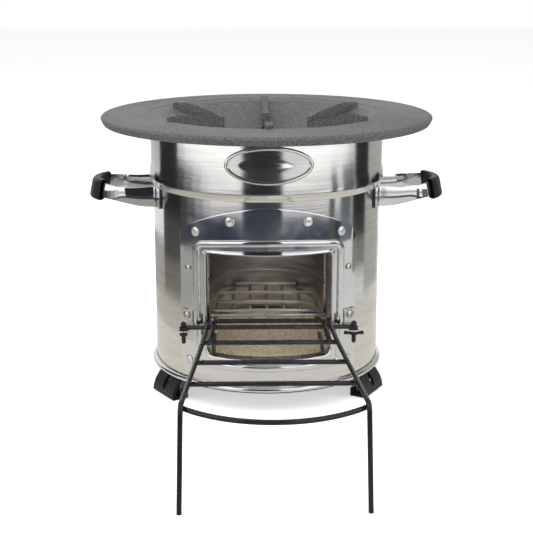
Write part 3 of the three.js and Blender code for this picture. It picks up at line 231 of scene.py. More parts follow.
# Fuel tunnel, chamber, grate and tile
CHAMBER_RADIUS = 62 * MM
CHAMBER_SHEET = 0.8 * MM
CHAMBER_FOOT = 36.3 * MM
CHAMBER_TOP = 257 * MM
CHAMBER_BEAD = [(101.1 * MM, 0), (102.1 * MM, 1.2 * MM), (104.9 * MM, 1.2 * MM), (105.9 * MM, 0)]
CHAMBER_STEPS = 144
TUNNEL_TOP = 164.3 * MM
TILE_BEVEL = 0.9 * MM
RAIL_BEVEL = 0.3 * MM
GRATE_HEIGHT = 88 * MM
GRATE_RAIL_HEIGHT = 83.7 * MM
GRATE_BAR_RADIUS = 2 * MM
GRATE_BAR_SIDES = 14
GRATE_RAIL_RADIUS = 1.5 * MM
GRATE_RAIL_SIDES = 12
GRATE_HOOP_STEPS = 10

# Grate in millimetres: each bar's reach and half length, each rail's offset, and the hoop's ends
GRATE_BARS = [(-49, 33.7), (-12.8, 50.7), (22.5, 53.7), (53.8, 57.5), (70.2, 58.7)]
GRATE_RAILS = [-36, -18, 0, 18, 36]
GRATE_HOOP_INSET = 1
GRATE_HOOP_FRONT = (58.2, -73)
GRATE_HOOP_BACK = 57.4
GRATE_RAIL_FRONT = -71

# Feet: angle from the front, and how far the photographed foot is turned from it
FEET = [(-60, 2), (60, 0), (180, 0)]
FOOT_INNER_ZONE = 108 * MM
FOOT_DRAW = 12 * MM
FOOT_PLATE_ZONE = 12 * MM
FOOT_BEVEL = 0.8 * MM
FOOT_PLATE_BEVEL = 0.25 * MM

# Handles
ARM_OFFSET = 38.2 * MM
HANDLE_REACH = 181.5 * MM
STRAP_SHEET = 1.6 * MM
STRAP_FLANGE = 13 * MM
STRAP_BEND = 4 * MM
STRAP_CORNER = 0.5 * MM
STRAP_STATION = 4 * MM
STRAP_AT_BODY = (196.1 * MM, 217.2 * MM)
STRAP_AT_GRIP = (204.3 * MM, 219.3 * MM)
STRAP_DIP = 2 * MM
STRAP_RAMP = (122 * MM, 172 * MM)
GRIP_LEAN = 12
GRIP_HALF_ANGLE = 42
GRIP_THICKNESS = 9 * MM
GRIP_HEIGHT = 21.4 * MM
GRIP_CORNER = 3.6 * MM
GRIP_WALL = 1.8 * MM
GRIP_POCKET = 5 * MM
GRIP_STEPS = 48

# Finishes: the part of a noise's range that is spread out, and the clay's pale flakes
NOISE_LOW = 0.3
NOISE_HIGH = 0.7
PALE_CLAY = (0.66, 0.58, 0.45)

# Stage
FLOOR_HALF = 6
FLOOR_SHADE = 0.96
FLOOR_LIFT = 0.5
SENSOR_WIDTH = 36
LAMP_GOAL = (0, 0, 0.15)
KEY_PLACE = (-0.3, -0.5, 2.2)
KEY_WIDTH = 1.8
LEFT_PLACE = (-1.9, -0.3, 1.1)
RIGHT_PLACE = (1.9, -0.3, 1.1)
SIDE_WIDTH = 1.2
OPENING_PLACE = (0, -1.1, 0.3)
OPENING_GOAL = (0, 0.02, 0.115)
OPENING_CONE = math.radians(9)
OPENING_BLEND = 0.6
OPENING_WIDTH = 0.06
SCREEN_STEP = 4
# Colours that the painted reflections glow: black, a bright softbox glow and navy
PAINTED_BLACK = (0.028, 0.028, 0.029)
PAINTED_SOFTBOX_GLOW = (1.5, 1.5, 1.5)
PAINTED_NAVY = (0.044, 0.051, 0.073)

# Painted reflections: glowing screens that only reflections show, each with its turn from and to, reach of
# its low and its high edge, heights of the two, and the shade it glows
PAINTED_REFLECTIONS = [
    # Painted reflections at the left: black above, greyer near the floor, and lighter greys towards the front
    (-115, -85, 0.45, 0.45, 0.11, 1.2, PAINTED_BLACK),
    (-115, -85, 0.45, 0.45, 0.05, 0.11, (0.08, 0.08, 0.078)),
    (-115, -85, 0.45, 0.45, 0.002, 0.05, (0.2, 0.19, 0.17)),
    (-85, -76, 0.45, 0.45, 0.078, 0.24, (0.07, 0.07, 0.075)),
    (-76, -67, 0.45, 0.45, 0.126, 0.24, (0.18, 0.18, 0.19)),
    (-67, -58, 0.45, 0.45, 0.126, 0.24, (0.42, 0.42, 0.43)),
    (-58, -50, 0.45, 0.45, 0.126, 0.24, (0.7, 0.7, 0.7)),
    # Painted reflections at the right: black above, grey below, blue-grey and dark grey towards the front,
    # pale grey behind
    (82, 103, 0.45, 0.45, 0.085, 1.2, PAINTED_BLACK),
    (82, 103, 0.45, 0.45, 0.04, 0.085, (0.25, 0.245, 0.23)),
    (67, 81, 0.45, 0.45, 0.085, 0.24, (0.15, 0.17, 0.185)),
    (55, 61, 0.45, 0.45, 0.085, 0.24, (0.09, 0.09, 0.09)),
    (103, 140, 0.45, 0.45, 0.002, 1.2, (0.46, 0.45, 0.42)),
    # Painted black reflection straight in front
    (-23, 13, 1.2, 1.2, 0.002, 1.5, PAINTED_BLACK),
    # Painted highlights: two bright glowing panels either side of the front
    (-84, -23, 1.2, 1.2, 0.24, 1.4, PAINTED_SOFTBOX_GLOW),
    (13, 80, 1.2, 1.2, 0.24, 1.4, PAINTED_SOFTBOX_GLOW),
    # Painted navy reflection on the floor in front, which the frame's top shows
    (-85, -23, 0.76, 1.05, 0.001, 0.001, PAINTED_NAVY),
    (-23, 13, 0.76, 1.2, 0.001, 0.001, PAINTED_NAVY),
    (13, 75, 0.78, 1.05, 0.001, 0.001, PAINTED_NAVY),
    # Painted reflections of the floor round the stove, in greys and beiges
    (-180, 0, 0.42, 0.76, 0.001, 0.001, (0.42, 0.41, 0.38)),
    (0, 180, 0.42, 0.78, 0.001, 0.001, (0.74, 0.73, 0.7)),
    (-180, 0, 0.3, 0.42, 0.001, 0.001, (0.58, 0.55, 0.49)),
    (0, 180, 0.3, 0.42, 0.001, 0.001, (0.72, 0.69, 0.63)),
    (-180, 180, 0.15, 0.3, 0.001, 0.001, (0.76, 0.73, 0.66)),
    # Painted shadow: a black ring on the floor under the stove, which only reflections show
    (-180, 180, 0.04, 0.132, 0.001, 0.001, PAINTED_BLACK),
]


class CookstoveSizes(bpy.types.PropertyGroup):
    """Main sizes of the stove's finely made pieces"""

    top_radius: FloatProperty(name="Top Radius", description="Radius of the cast-iron top",
                              default=0.173, min=0.14, max=0.2, unit="LENGTH")
    top_height: FloatProperty(name="Top Height", description="Height of the cast top above the floor",
                              default=0.2886, min=0.25, max=0.32, unit="LENGTH")
    rib_thickness: FloatProperty(name="Rib Thickness", description="Thickness of each pan rib",
                                 default=0.007, min=0.003, max=0.012, unit="LENGTH")
    tooth_count: IntProperty(name="Teeth", description="Saw teeth along the top of each pan rib",
                             default=13, min=4, max=30)
    tooth_depth: FloatProperty(name="Tooth Depth", description="Depth of each saw tooth",
                               default=0.0017, min=0, max=0.004, unit="LENGTH")
    body_radius: FloatProperty(name="Body Radius", description="Radius of the stainless body",
                               default=0.12, min=0.1, max=0.14, unit="LENGTH")
    collar_radius: FloatProperty(name="Collar Radius", description="Radius of the band under the top",
                                 default=0.122, min=0.1, max=0.14, unit="LENGTH")
    opening_half_width: FloatProperty(name="Opening Half Width",
                                      description="Half the width of the fuel opening",
                                      default=0.0634, min=0.04, max=0.07, unit="LENGTH")
    bead_proud: FloatProperty(name="Bead Height", description="How far the frame's bead stands out",
                              default=0.0025, min=0, max=0.004, unit="LENGTH")
    wire_radius: FloatProperty(name="Stand Wire Radius", description="Radius of the fuel stand's wire",
                               default=0.0023, min=0.0015, max=0.0035, unit="LENGTH")
    ring_steps: IntProperty(name="Ring Steps", description="Faces round each turned piece",
                            default=192, min=48, max=288)


class CookstoveColours(bpy.types.PropertyGroup):
    """Base colours of the stove's finishes"""

    cast_iron: FloatVectorProperty(name="Cast Iron", description="Sand-cast iron of the top",
                                   subtype="COLOR", size=3, default=(0.115, 0.12, 0.125))
    stainless: FloatVectorProperty(name="Stainless", description="Brushed stainless of the body",
                                   subtype="COLOR", size=3, default=(0.72, 0.715, 0.7))
    polished: FloatVectorProperty(name="Polished Steel", description="Mirror steel of frame and straps",
                                  subtype="COLOR", size=3, default=(0.74, 0.75, 0.77))
    chamber: FloatVectorProperty(name="Chamber Steel", description="Dull steel inside the stove",
                                 subtype="COLOR", size=3, default=(0.62, 0.62, 0.62))
    zinc: FloatVectorProperty(name="Zinc", description="Plated clips, screws and rails",
                              subtype="COLOR", size=3, default=(0.7, 0.68, 0.64))
    aluminium: FloatVectorProperty(name="Aluminium", description="Rivets in the door frame",
                                   subtype="COLOR", size=3, default=(0.84, 0.85, 0.87))
    enamel: FloatVectorProperty(name="Black Enamel", description="Glossy paint of the fuel stand",
                                subtype="COLOR", size=3, default=(0.007, 0.007, 0.008))
    plastic: FloatVectorProperty(name="Black Plastic", description="Moulded feet and grips",
                                 subtype="COLOR", size=3, default=(0.012, 0.012, 0.013))
    clay: FloatVectorProperty(name="Fired Clay", description="Tile on the stove's floor",
                              subtype="COLOR", size=3, default=(0.74, 0.57, 0.4))
    wool: FloatVectorProperty(name="Mineral Wool", description="Packing inside the body",
                              subtype="COLOR", size=3, default=(0.58, 0.52, 0.4))


class CookstoveStage(bpy.types.PropertyGroup):
    """Stage, lamps and camera"""

    camera_place: FloatVectorProperty(name="Camera Place", description="Where the camera stands",
                                      subtype="TRANSLATION", size=3, default=(-0.0264, -1.1645, 0.4554))
    camera_tilt: FloatProperty(name="Camera Tilt", description="How far the camera looks down",
                               subtype="ANGLE", default=math.radians(14.86))
    camera_turn: FloatProperty(name="Camera Turn", description="Turn of the camera to its right",
                               subtype="ANGLE", default=math.radians(1.2))
    camera_lens: FloatProperty(name="Camera Lens", description="Focal length in millimetres",
                               default=81.05, min=20, max=200)
    world_level: FloatProperty(name="World Level", description="Light that the surroundings give",
                               default=0.45, min=0, max=2)
    key_power: FloatProperty(name="Key Power", description="Power of the large lamp above in watts",
                             default=27, min=0, max=200)
    side_power: FloatProperty(name="Side Power", description="Power of each side lamp in watts",
                              default=15, min=0, max=200)
    front_power: FloatProperty(name="Front Power",
                               description="Power of the narrow lamp at the opening in watts",
                               default=130, min=0, max=200)


# Drawing lines and outlines

def arc(centre, radii, start, end, steps):
    """Points along part of an ellipse, from one angle in degrees to another."""
    points = []
    for i in range(steps + 1):
        angle = math.radians(start + (end - start) * i / steps)
        points.append((centre[0] + radii[0] * math.cos(angle), centre[1] + radii[1] * math.sin(angle)))
    return points


def soft_corners(points, radius, steps=3, is_closed=False):
    """Rounds the corners of a drawn line, as rolled or cast edges are."""
    places = [Vector(p) for p in points]
    count = len(places)
    rounded = []
    for i, place in enumerate(places):
        if not is_closed and i in (0, count - 1):
            rounded.append(place)
            continue
        before = places[i - 1] - place
        after = places[(i + 1) % count] - place
        if before.angle(after) > NEARLY_STRAIGHT:
            rounded.append(place)
            continue
        start = place + before.normalized() * min(radius, before.length * CORNER_SHARE)
        end = place + after.normalized() * min(radius, after.length * CORNER_SHARE)
        for k in range(steps + 1):
            share = k / steps
            rounded.append(start.lerp(place, share).lerp(place.lerp(end, share), share))
    return [tuple(p) for p in rounded]


def evenly(points, count):
    """Spreads a number of points at equal steps along a closed outline."""
    places = [Vector(p) for p in points]
    spans = list(zip(places, places[1:] + places[:1]))
    lengths = [(b - a).length for a, b in spans]
    total = sum(lengths)
    spread = []
    span, walked = 0, 0
    for i in range(count):
        goal = total * i / count
        while walked + lengths[span] < goal:
            walked += lengths[span]
            span += 1
        a, b = spans[span]
        spread.append(tuple(a.lerp(b, (goal - walked) / lengths[span])))
    return spread


def arched_outline(half, bottom, top, arch, top_corner, bottom_corner):
    """A door outline with a shallow arch for its top, from the middle of its foot round to it again."""
    centre = top - arch
    low = half - bottom_corner
    corner_x = half - top_corner
    corner_z = centre + math.sqrt((arch - top_corner) ** 2 - corner_x ** 2)
    turn = math.degrees(math.atan2(corner_z - centre, corner_x))
    right = arc((low, bottom + bottom_corner), (bottom_corner,) * 2, -90, 0, CORNER_STEPS)
    right += arc((corner_x, corner_z), (top_corner,) * 2, 0, turn, CORNER_STEPS)
    right += arc((0, centre), (arch, arch), turn, 90, ARCH_STEPS)
    left = [(-x, z) for x, z in reversed(right[:-1])]
    return [(0, bottom)] + right + left


def window_outline(half, bottom, top, top_corner, bottom_corner):
    """The fuel opening's outline, from the middle of its foot round to it again."""
    low = (half - bottom_corner, bottom + bottom_corner)
    high = (half - top_corner, top - top_corner)
    right = arc(low, (bottom_corner,) * 2, -90, 0, CORNER_STEPS)
    right += arc(high, (top_corner,) * 2, 0, 90, CORNER_STEPS)
    left = [(-x, z) for x, z in reversed(right)]
    return [(0, bottom)] + right + left


def on_drum(x, z, radius, lift):
    """A place over the drum's face for a distance from the middle and a height."""
    angle = math.asin(x / radius)
    reach = radius + lift
    return Vector((reach * math.sin(angle), -reach * math.cos(angle), z))


def bent_line(corners, bends, step=3):
    """Stations of place and direction along a line with round bends, one bend for each inner corner."""
    corners = [Vector(c) for c in corners]
    stations = [(corners[0], (corners[1] - corners[0]).normalized())]
    for before, corner, after, bend in zip(corners, corners[1:], corners[2:], bends):
        into = (corner - before).normalized()
        out = (after - corner).normalized()
        turn = into.angle(out)
        if bend == 0 or turn < 1e-4:
            stations.append((corner, (into + out).normalized()))
            continue
        start = corner - into * bend * math.tan(turn / 2)
        axis = into.cross(out).normalized()
        centre = start + axis.cross(into) * bend
        steps = max(3, round(math.degrees(turn) / step))
        for i in range(steps + 1):
            spin = Matrix.Rotation(turn * i / steps, 3, axis)
            stations.append((centre + spin @ (start - centre), spin @ into))
    stations.append((corners[-1], (corners[-1] - corners[-2]).normalized()))
    return stations


def smooth_line(points, steps):
    """Places along a smooth curve through the given points."""
    places = [2 * points[0] - points[1]] + points + [2 * points[-1] - points[-2]]
    line = []
    for quad in zip(places, places[1:], places[2:], places[3:]):
        knots = [0.0]
        for a, b in zip(quad, quad[1:]):
            knots.append(knots[-1] + math.sqrt((b - a).length))
        for i in range(steps):
            at = knots[1] + (knots[2] - knots[1]) * i / steps
            level = list(quad)
            for width in (1, 2, 3):
                level = [a.lerp(b, (at - knots[k]) / (knots[k + width] - knots[k]))
                         for k, (a, b) in enumerate(zip(level, level[1:]))]
            line.append(level[0])
    line.append(points[-1])
    return line


def with_directions(places):
    """Adds to each place of a line the direction in which the line runs there."""
    last = len(places) - 1
    return [(p, (places[min(i + 1, last)] - places[max(i - 1, 0)]).normalized())
            for i, p in enumerate(places)]


# Making meshes

def picked(geometry, kind):
    return [part for part in geometry if isinstance(part, kind)]


def edges_at(verts):
    """The edges that meet at the given vertices, each once."""
    return list(dict.fromkeys(edge for vert in verts for edge in vert.link_edges))


def turn_profile(bm, profile, steps, is_closed=False):
    """Spins a profile of radius and height round the upright axis."""
    verts = [bm.verts.new((radius, 0, height)) for radius, height in profile]
    edges = [bm.edges.new(pair) for pair in zip(verts, verts[1:])]
    if is_closed:
        edges.append(bm.edges.new((verts[-1], verts[0])))
    bmesh.ops.spin(bm, geom=verts + edges, cent=(0, 0, 0), axis=UP, angle=FULL_TURN, steps=steps,
                   use_merge=True, use_duplicate=False)
    bmesh.ops.remove_doubles(bm, verts=bm.verts, dist=WELD_DISTANCE)
    bmesh.ops.recalc_face_normals(bm, faces=bm.faces)


def draw_loop(bm, places):
    """Draws a closed loop of edges through places."""
    verts = [bm.verts.new(place) for place in places]
    return [bm.edges.new(pair) for pair in zip(verts, verts[1:] + verts[:1])]


def skin_loops(bm, loops, has_ends=True):
    """Grows a skin from one loop of places to the next, and closes the first and the last."""
    order = bm.verts.layers.int.new("order")
    first = draw_loop(bm, loops[0])
    for i, edge in enumerate(first):
        edge.verts[0][order] = i
    edges = first
    for loop in loops[1:]:
        grown = bmesh.ops.extrude_edge_only(bm, edges=edges)["geom"]
        for vert in picked(grown, bmesh.types.BMVert):
            vert.co = loop[vert[order]]
        edges = [e for e in picked(grown, bmesh.types.BMEdge) if e.is_boundary]
    if has_ends:
        for ends in (first, edges):
            bmesh.ops.contextual_create(bm, geom=ends)
    bmesh.ops.recalc_face_normals(bm, faces=bm.faces)
    return edges


def slab(bm, outline, depth):
    """Fills an outline of places, gives it a depth and returns its corners."""
    face = bm.faces.new([bm.verts.new(place) for place in outline])
    grown = bmesh.ops.extrude_face_region(bm, geom=[face])["geom"]
    far = picked(grown, bmesh.types.BMVert)
    bmesh.ops.translate(bm, verts=far, vec=depth)
    near = list(face.verts) if face.is_valid else []
    bmesh.ops.recalc_face_normals(bm, faces=bm.faces)
    return near + far


def sweep_wire(bm, stations, radius, sides=WIRE_SIDES):
    """Draws a round wire along stations of place and direction, with rounded ends."""
    start, heading = stations[0]
    aim = UP.rotation_difference(heading).to_matrix().to_4x4()
    first = bmesh.ops.create_circle(bm, cap_ends=False, segments=sides, radius=radius,
                                    matrix=Matrix.Translation(start) @ aim)["verts"]
    first_edges = edges_at(first)
    edges = first_edges
    for (place, before), (goal, after) in zip(stations, stations[1:]):
        grown = bmesh.ops.extrude_edge_only(bm, edges=edges)["geom"]
        verts = picked(grown, bmesh.types.BMVert)
        edges = [e for e in picked(grown, bmesh.types.BMEdge) if e.is_boundary]
        turn = before.rotation_difference(after).to_matrix().to_4x4()
        bmesh.ops.transform(bm, verts=verts,
                            matrix=Matrix.Translation(goal) @ turn @ Matrix.Translation(-place))
    for ends, (place, heading), sign in ((first_edges, stations[0], -1), (edges, stations[-1], 1)):
        for share, ahead in WIRE_END:
            grown = bmesh.ops.extrude_edge_only(bm, edges=ends)["geom"]
            verts = picked(grown, bmesh.types.BMVert)
            ends = [e for e in picked(grown, bmesh.types.BMEdge) if e.is_boundary]
            middle = sum((v.co for v in verts), Vector()) / len(verts)
            size = max((v.co - middle).length for v in verts)
            for vert in verts:
                vert.co = middle + (vert.co - middle) * (radius * share / size)
            bmesh.ops.translate(bm, verts=verts, vec=place + heading * sign * radius * ahead - middle)
        bmesh.ops.contextual_create(bm, geom=ends)
    bmesh.ops.recalc_face_normals(bm, faces=bm.faces)


def straight(start, end):
    direction = (Vector(end) - Vector(start)).normalized()
    return [(Vector(start), direction), (Vector(end), direction)]


def mirror_across(bm):
    """Flips everything in the mesh to the other side of the stove."""
    bmesh.ops.scale(bm, verts=bm.verts, vec=(-1, 1, 1))
    bmesh.ops.recalc_face_normals(bm, faces=bm.faces)


def turn_round(bm, degrees, centre=(0, 0, 0)):
    """Turns a mesh about an upright axis."""
    bmesh.ops.rotate(bm, verts=bm.verts, cent=centre,
                     matrix=Matrix.Rotation(math.radians(degrees), 3, "Z"))


def face_front(bm, height):
    """Lays a piece turned about Z along the radius at the front, its top outwards."""
    bmesh.ops.rotate(bm, verts=bm.verts, cent=(0, 0, 0), matrix=Matrix.Rotation(math.pi / 2, 3, "X"))
    bmesh.ops.translate(bm, verts=bm.verts, vec=(0, 0, height))


def soften(bm, edges, width):
    """Rounds edges with a narrow bevel."""
    bmesh.ops.bevel(bm, geom=edges, offset=width, segments=2, profile=0.5, affect="EDGES",
                    material=-1, clamp_overlap=True)


def merge_into(bm, part):
    """Adds a part to a mesh and frees the part."""
    mesh = bpy.data.meshes.new("part")
    part.to_mesh(mesh)
    part.free()
    bm.from_mesh(mesh)
    bpy.data.meshes.remove(mesh)


def mesh_object(name, bm, material):
    """Makes an object of a mesh in one material and puts it in the scene."""
    mesh = bpy.data.meshes.new(name)
    bm.to_mesh(mesh)
    bm.free()
    mesh.materials.append(material)
    piece = bpy.data.objects.new(name, mesh)
    bpy.context.scene.collection.objects.link(piece)
    return piece


def add_piece(name, bm, finish, replaces=(), body="stove", smooth=PIECE_SMOOTH, place=AXIS):
    """Makes a finished piece of a mesh and lets it ride on its body."""
    bmesh.ops.translate(bm, verts=bm.verts, vec=place)
    piece = mesh_object(name, bm, bpy.data.materials[finish])
    piece.data.shade_smooth()
    piece.data.set_sharp_from_angle(angle=math.radians(smooth))
    if replaces:
        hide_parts(*replaces)
    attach(piece, body)
    return piece


def give_wall(piece, thickness, side):
    """Gives a sheet its thickness, towards one of its sides."""
    wall = piece.modifiers.new("Sheet", "SOLIDIFY")
    wall.thickness = thickness
    wall.offset = side


def finer_copy(name, node, finish, bevel=0.0, segments=3, reshape=None):
    """Copies a frame node, merges its loose triangles into flat faces and rounds its edges."""
    bm = bmesh.new()
    bm.from_mesh(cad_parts[node].data)
    bmesh.ops.remove_doubles(bm, verts=bm.verts, dist=WELD_DISTANCE)
    bmesh.ops.dissolve_limit(bm, angle_limit=math.radians(1), verts=bm.verts, edges=bm.edges)
    if reshape:
        reshape(bm)
    piece = add_piece(name, bm, finish, (node,), smooth=COPY_SMOOTH, place=Vector())
    if bevel:
        edge = piece.modifiers.new("Rounded Edges", "BEVEL")
        edge.width = bevel
        edge.segments = segments
        edge.limit_method = "ANGLE"
        edge.angle_limit = math.radians(COPY_SMOOTH)
        edge.harden_normals = True


def dress_node(node, finish):
    """Gives a frame node that stays in view its finish."""
    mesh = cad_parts[node].data
    mesh.materials.clear()
    mesh.materials.append(bpy.data.materials[finish])


def sized(context):
    return context.scene.cookstove_sizes


# Finishes

def new_group(name, inputs, outputs):
    group = bpy.data.node_groups.new(name, "ShaderNodeTree")
    for label, value in inputs:
        socket = group.interface.new_socket(label, in_out="INPUT", socket_type="NodeSocketFloat")
        socket.default_value = value
    for label in outputs:
        group.interface.new_socket(label, in_out="OUTPUT", socket_type="NodeSocketFloat")
    return group, group.nodes.new("NodeGroupInput"), group.nodes.new("NodeGroupOutput")


def spread_noise(tree, scale, vector, low=NOISE_LOW, detail=3.0):
    """A noise pattern with the middle of its range spread out, and its scale read from a socket."""
    noise = tree.nodes.new("ShaderNodeTexNoise")
    noise.inputs["Detail"].default_value = detail
    tree.links.new(vector, noise.inputs["Vector"])
    tree.links.new(scale, noise.inputs["Scale"])
    spread = tree.nodes.new("ShaderNodeMapRange")
    spread.inputs["From Min"].default_value = low
    spread.inputs["From Max"].default_value = NOISE_HIGH
    tree.links.new(noise.outputs["Fac"], spread.inputs["Value"])
    return spread.outputs["Result"]


def build_speckle_group():
    """Fine and coarse grains, as on sand-cast iron, moulded plastic and clay."""
    group, given, out = new_group("Fine Speckle", [("Grain Scale", 600.0), ("Patch Scale", 40.0)],
                                  ["Grain", "Patches"])
    place = group.nodes.new("ShaderNodeTexCoord").outputs["Object"]
    grain = spread_noise(group, given.outputs["Grain Scale"], place, detail=2.0)
    patches = spread_noise(group, given.outputs["Patch Scale"], place)
    group.links.new(grain, out.inputs["Grain"])
    group.links.new(patches, out.inputs["Patches"])


def build_brush_group():
    """Fine lines round the body, as a brushing belt leaves them on sheet steel."""
    group, given, out = new_group("Brushed Lines", [("Line Scale", 1.0), ("Along Scale", 14.0),
                                                    ("Across Scale", 1500.0)], ["Lines", "Bands"])
    place = group.nodes.new("ShaderNodeTexCoord").outputs["Object"]
    for label, share in (("Lines", 1.0), ("Bands", 0.12)):
        stretch = group.nodes.new("ShaderNodeCombineXYZ")
        across = group.nodes.new("ShaderNodeMath")
        across.operation = "MULTIPLY"
        across.inputs[1].default_value = share
        group.links.new(given.outputs["Across Scale"], across.inputs[0])
        group.links.new(given.outputs["Along Scale"], stretch.inputs["X"])
        group.links.new(given.outputs["Along Scale"], stretch.inputs["Y"])
        group.links.new(across.outputs["Value"], stretch.inputs["Z"])
        scaled = group.nodes.new("ShaderNodeVectorMath")
        scaled.operation = "MULTIPLY"
        group.links.new(place, scaled.inputs[0])
        group.links.new(stretch.outputs["Vector"], scaled.inputs[1])
        pattern = spread_noise(group, given.outputs["Line Scale"], scaled.outputs["Vector"])
        group.links.new(pattern, out.inputs[label])


def build_smudge_group():
    """Broad soft marks, such as handling leaves on metal and paint."""
    group, given, out = new_group("Soft Smudges", [("Mark Scale", 18.0)], ["Marks"])
    place = group.nodes.new("ShaderNodeTexCoord").outputs["Object"]
    marks = spread_noise(group, given.outputs["Mark Scale"], place, low=0.35, detail=4.0)
    group.links.new(marks, out.inputs["Marks"])


class Finish:
    """One procedural material, with its shader and the links into it."""

    def __init__(self, name, colour, roughness, metallic):
        self.material = bpy.data.materials.new(name)
        self.material.use_nodes = True
        self.tree = self.material.node_tree
        self.shader = self.tree.nodes["Principled BSDF"]
        self.colour = (*colour, 1.0)
        self.shader.inputs["Base Color"].default_value = self.colour
        self.shader.inputs["Roughness"].default_value = roughness
        self.shader.inputs["Metallic"].default_value = metallic

    def group(self, name, **values):
        node = self.tree.nodes.new("ShaderNodeGroup")
        node.node_tree = bpy.data.node_groups[name]
        for label, value in values.items():
            node.inputs[label.replace("_", " ")].default_value = value
        return node

    def shade(self, factor, dark, light):
        """Varies the base colour between a darker and a lighter share of itself."""
        mix = self.tree.nodes.new("ShaderNodeMix")
        mix.data_type = "RGBA"
        mix.inputs["A"].default_value = (*[c * dark for c in self.colour[:3]], 1)
        mix.inputs["B"].default_value = (*[min(c * light, 1) for c in self.colour[:3]], 1)
        self.tree.links.new(factor, mix.inputs["Factor"])
        return mix.outputs["Result"]

    def tint(self, factor, base, colour):
        """Lays another colour over a base where the factor is high."""
        mix = self.tree.nodes.new("ShaderNodeMix")
        mix.data_type = "RGBA"
        mix.inputs["B"].default_value = (*colour, 1)
        self.tree.links.new(factor, mix.inputs["Factor"])
        self.tree.links.new(base, mix.inputs["A"])
        return mix.outputs["Result"]

    def spread(self, factor, low, high, start=0.0, end=1.0):
        """Maps a factor to a range of values."""
        node = self.tree.nodes.new("ShaderNodeMapRange")
        node.inputs["From Min"].default_value = start
        node.inputs["From Max"].default_value = end
        node.inputs["To Min"].default_value = low
        node.inputs["To Max"].default_value = high
        self.tree.links.new(factor, node.inputs["Value"])
        return node.outputs["Result"]

    def connect(self, output, socket):
        self.tree.links.new(output, self.shader.inputs[socket])

    def bump(self, height, distance, strength):
        """Raises the surface by a height pattern, over any bump that it has already."""
        node = self.tree.nodes.new("ShaderNodeBump")
        node.inputs["Distance"].default_value = distance
        node.inputs["Strength"].default_value = strength
        self.tree.links.new(height, node.inputs["Height"])
        if self.shader.inputs["Normal"].is_linked:
            self.tree.links.new(self.shader.inputs["Normal"].links[0].from_socket, node.inputs["Normal"])
        self.tree.links.new(node.outputs["Normal"], self.shader.inputs["Normal"])


def cast_iron_finish(colours):
    iron = Finish("Cast Iron", colours.cast_iron, roughness=0.6, metallic=0.2)
    speckle = iron.group("Fine Speckle", Grain_Scale=1300.0, Patch_Scale=30.0)
    coarse = iron.group("Fine Speckle", Grain_Scale=500.0, Patch_Scale=9.0)
    iron.connect(iron.shade(coarse.outputs["Grain"], dark=0.6, light=1.45), "Base Color")
    iron.connect(iron.spread(coarse.outputs["Patches"], low=0.5, high=0.68), "Roughness")
    iron.bump(speckle.outputs["Grain"], distance=0.16 * MM, strength=0.8)
    iron.bump(coarse.outputs["Grain"], distance=0.4 * MM, strength=0.9)


def brushed_finish(name, colour, roughness, along=14.0, dark=0.9, light=1.06):
    """Sheet steel with brushed lines, a little duller along them and where it was handled."""
    steel = Finish(name, colour, roughness, metallic=1.0)
    lines = steel.group("Brushed Lines", Along_Scale=along)
    marks = steel.group("Soft Smudges", Mark_Scale=14.0)
    steel.connect(steel.shade(lines.outputs["Bands"], dark, light), "Base Color")
    rough = steel.tree.nodes.new("ShaderNodeMath")
    rough.operation = "ADD"
    brushed = steel.spread(lines.outputs["Lines"], low=roughness - 0.03, high=roughness + 0.04)
    handled = steel.spread(marks.outputs["Marks"], low=-0.02, high=0.04)
    steel.tree.links.new(brushed, rough.inputs[0])
    steel.tree.links.new(handled, rough.inputs[1])
    steel.connect(rough.outputs["Value"], "Roughness")
    steel.bump(lines.outputs["Lines"], distance=0.02 * MM, strength=0.6)


def polished_finish(colours):
    steel = Finish("Polished Steel", colours.polished, roughness=0.08, metallic=1.0)
    marks = steel.group("Soft Smudges", Mark_Scale=26.0)
    lines = steel.group("Brushed Lines", Along_Scale=30.0)
    steel.connect(steel.shade(marks.outputs["Marks"], dark=0.95, light=1.03), "Base Color")
    steel.connect(steel.spread(marks.outputs["Marks"], low=0.05, high=0.14), "Roughness")
    steel.bump(lines.outputs["Bands"], distance=0.012 * MM, strength=0.3)


def speckled_finish(name, colour, roughness, metallic, scales, tones, roughs, bump, rough_by="Grain"):
    """A finish with fine grains: their scales, its darkest and lightest tone, its roughness and its bump."""
    finish = Finish(name, colour, roughness, metallic)
    speckle = finish.group("Fine Speckle", Grain_Scale=scales[0], Patch_Scale=scales[1])
    finish.connect(finish.shade(speckle.outputs["Patches"], *tones), "Base Color")
    finish.connect(finish.spread(speckle.outputs[rough_by], *roughs), "Roughness")
    finish.bump(speckle.outputs["Grain"], *bump)
    return finish


def plated_finish(name, colour, roughness):
    speckled_finish(name, colour, roughness, metallic=1.0, scales=(1400.0, 240.0), tones=(0.84, 1.1),
                    roughs=(roughness - 0.06, roughness + 0.1), bump=(0.04 * MM, 0.5))


def enamel_finish(colours):
    enamel = speckled_finish("Black Enamel", colours.enamel, roughness=0.24, metallic=0.0,
                             scales=(500.0, 90.0), tones=(0.8, 1.5), roughs=(0.16, 0.34),
                             bump=(0.02 * MM, 0.2), rough_by="Patches")
    enamel.shader.inputs["Coat Weight"].default_value = 0.25
    enamel.shader.inputs["Coat Roughness"].default_value = 0.08
    enamel.shader.inputs["Specular IOR Level"].default_value = 0.25


def plastic_finish(colours):
    plastic = speckled_finish("Black Plastic", colours.plastic, roughness=0.42, metallic=0.0,
                              scales=(1100.0, 70.0), tones=(0.8, 1.35), roughs=(0.34, 0.52),
                              bump=(0.12 * MM, 0.5))
    plastic.shader.inputs["Specular IOR Level"].default_value = 0.35


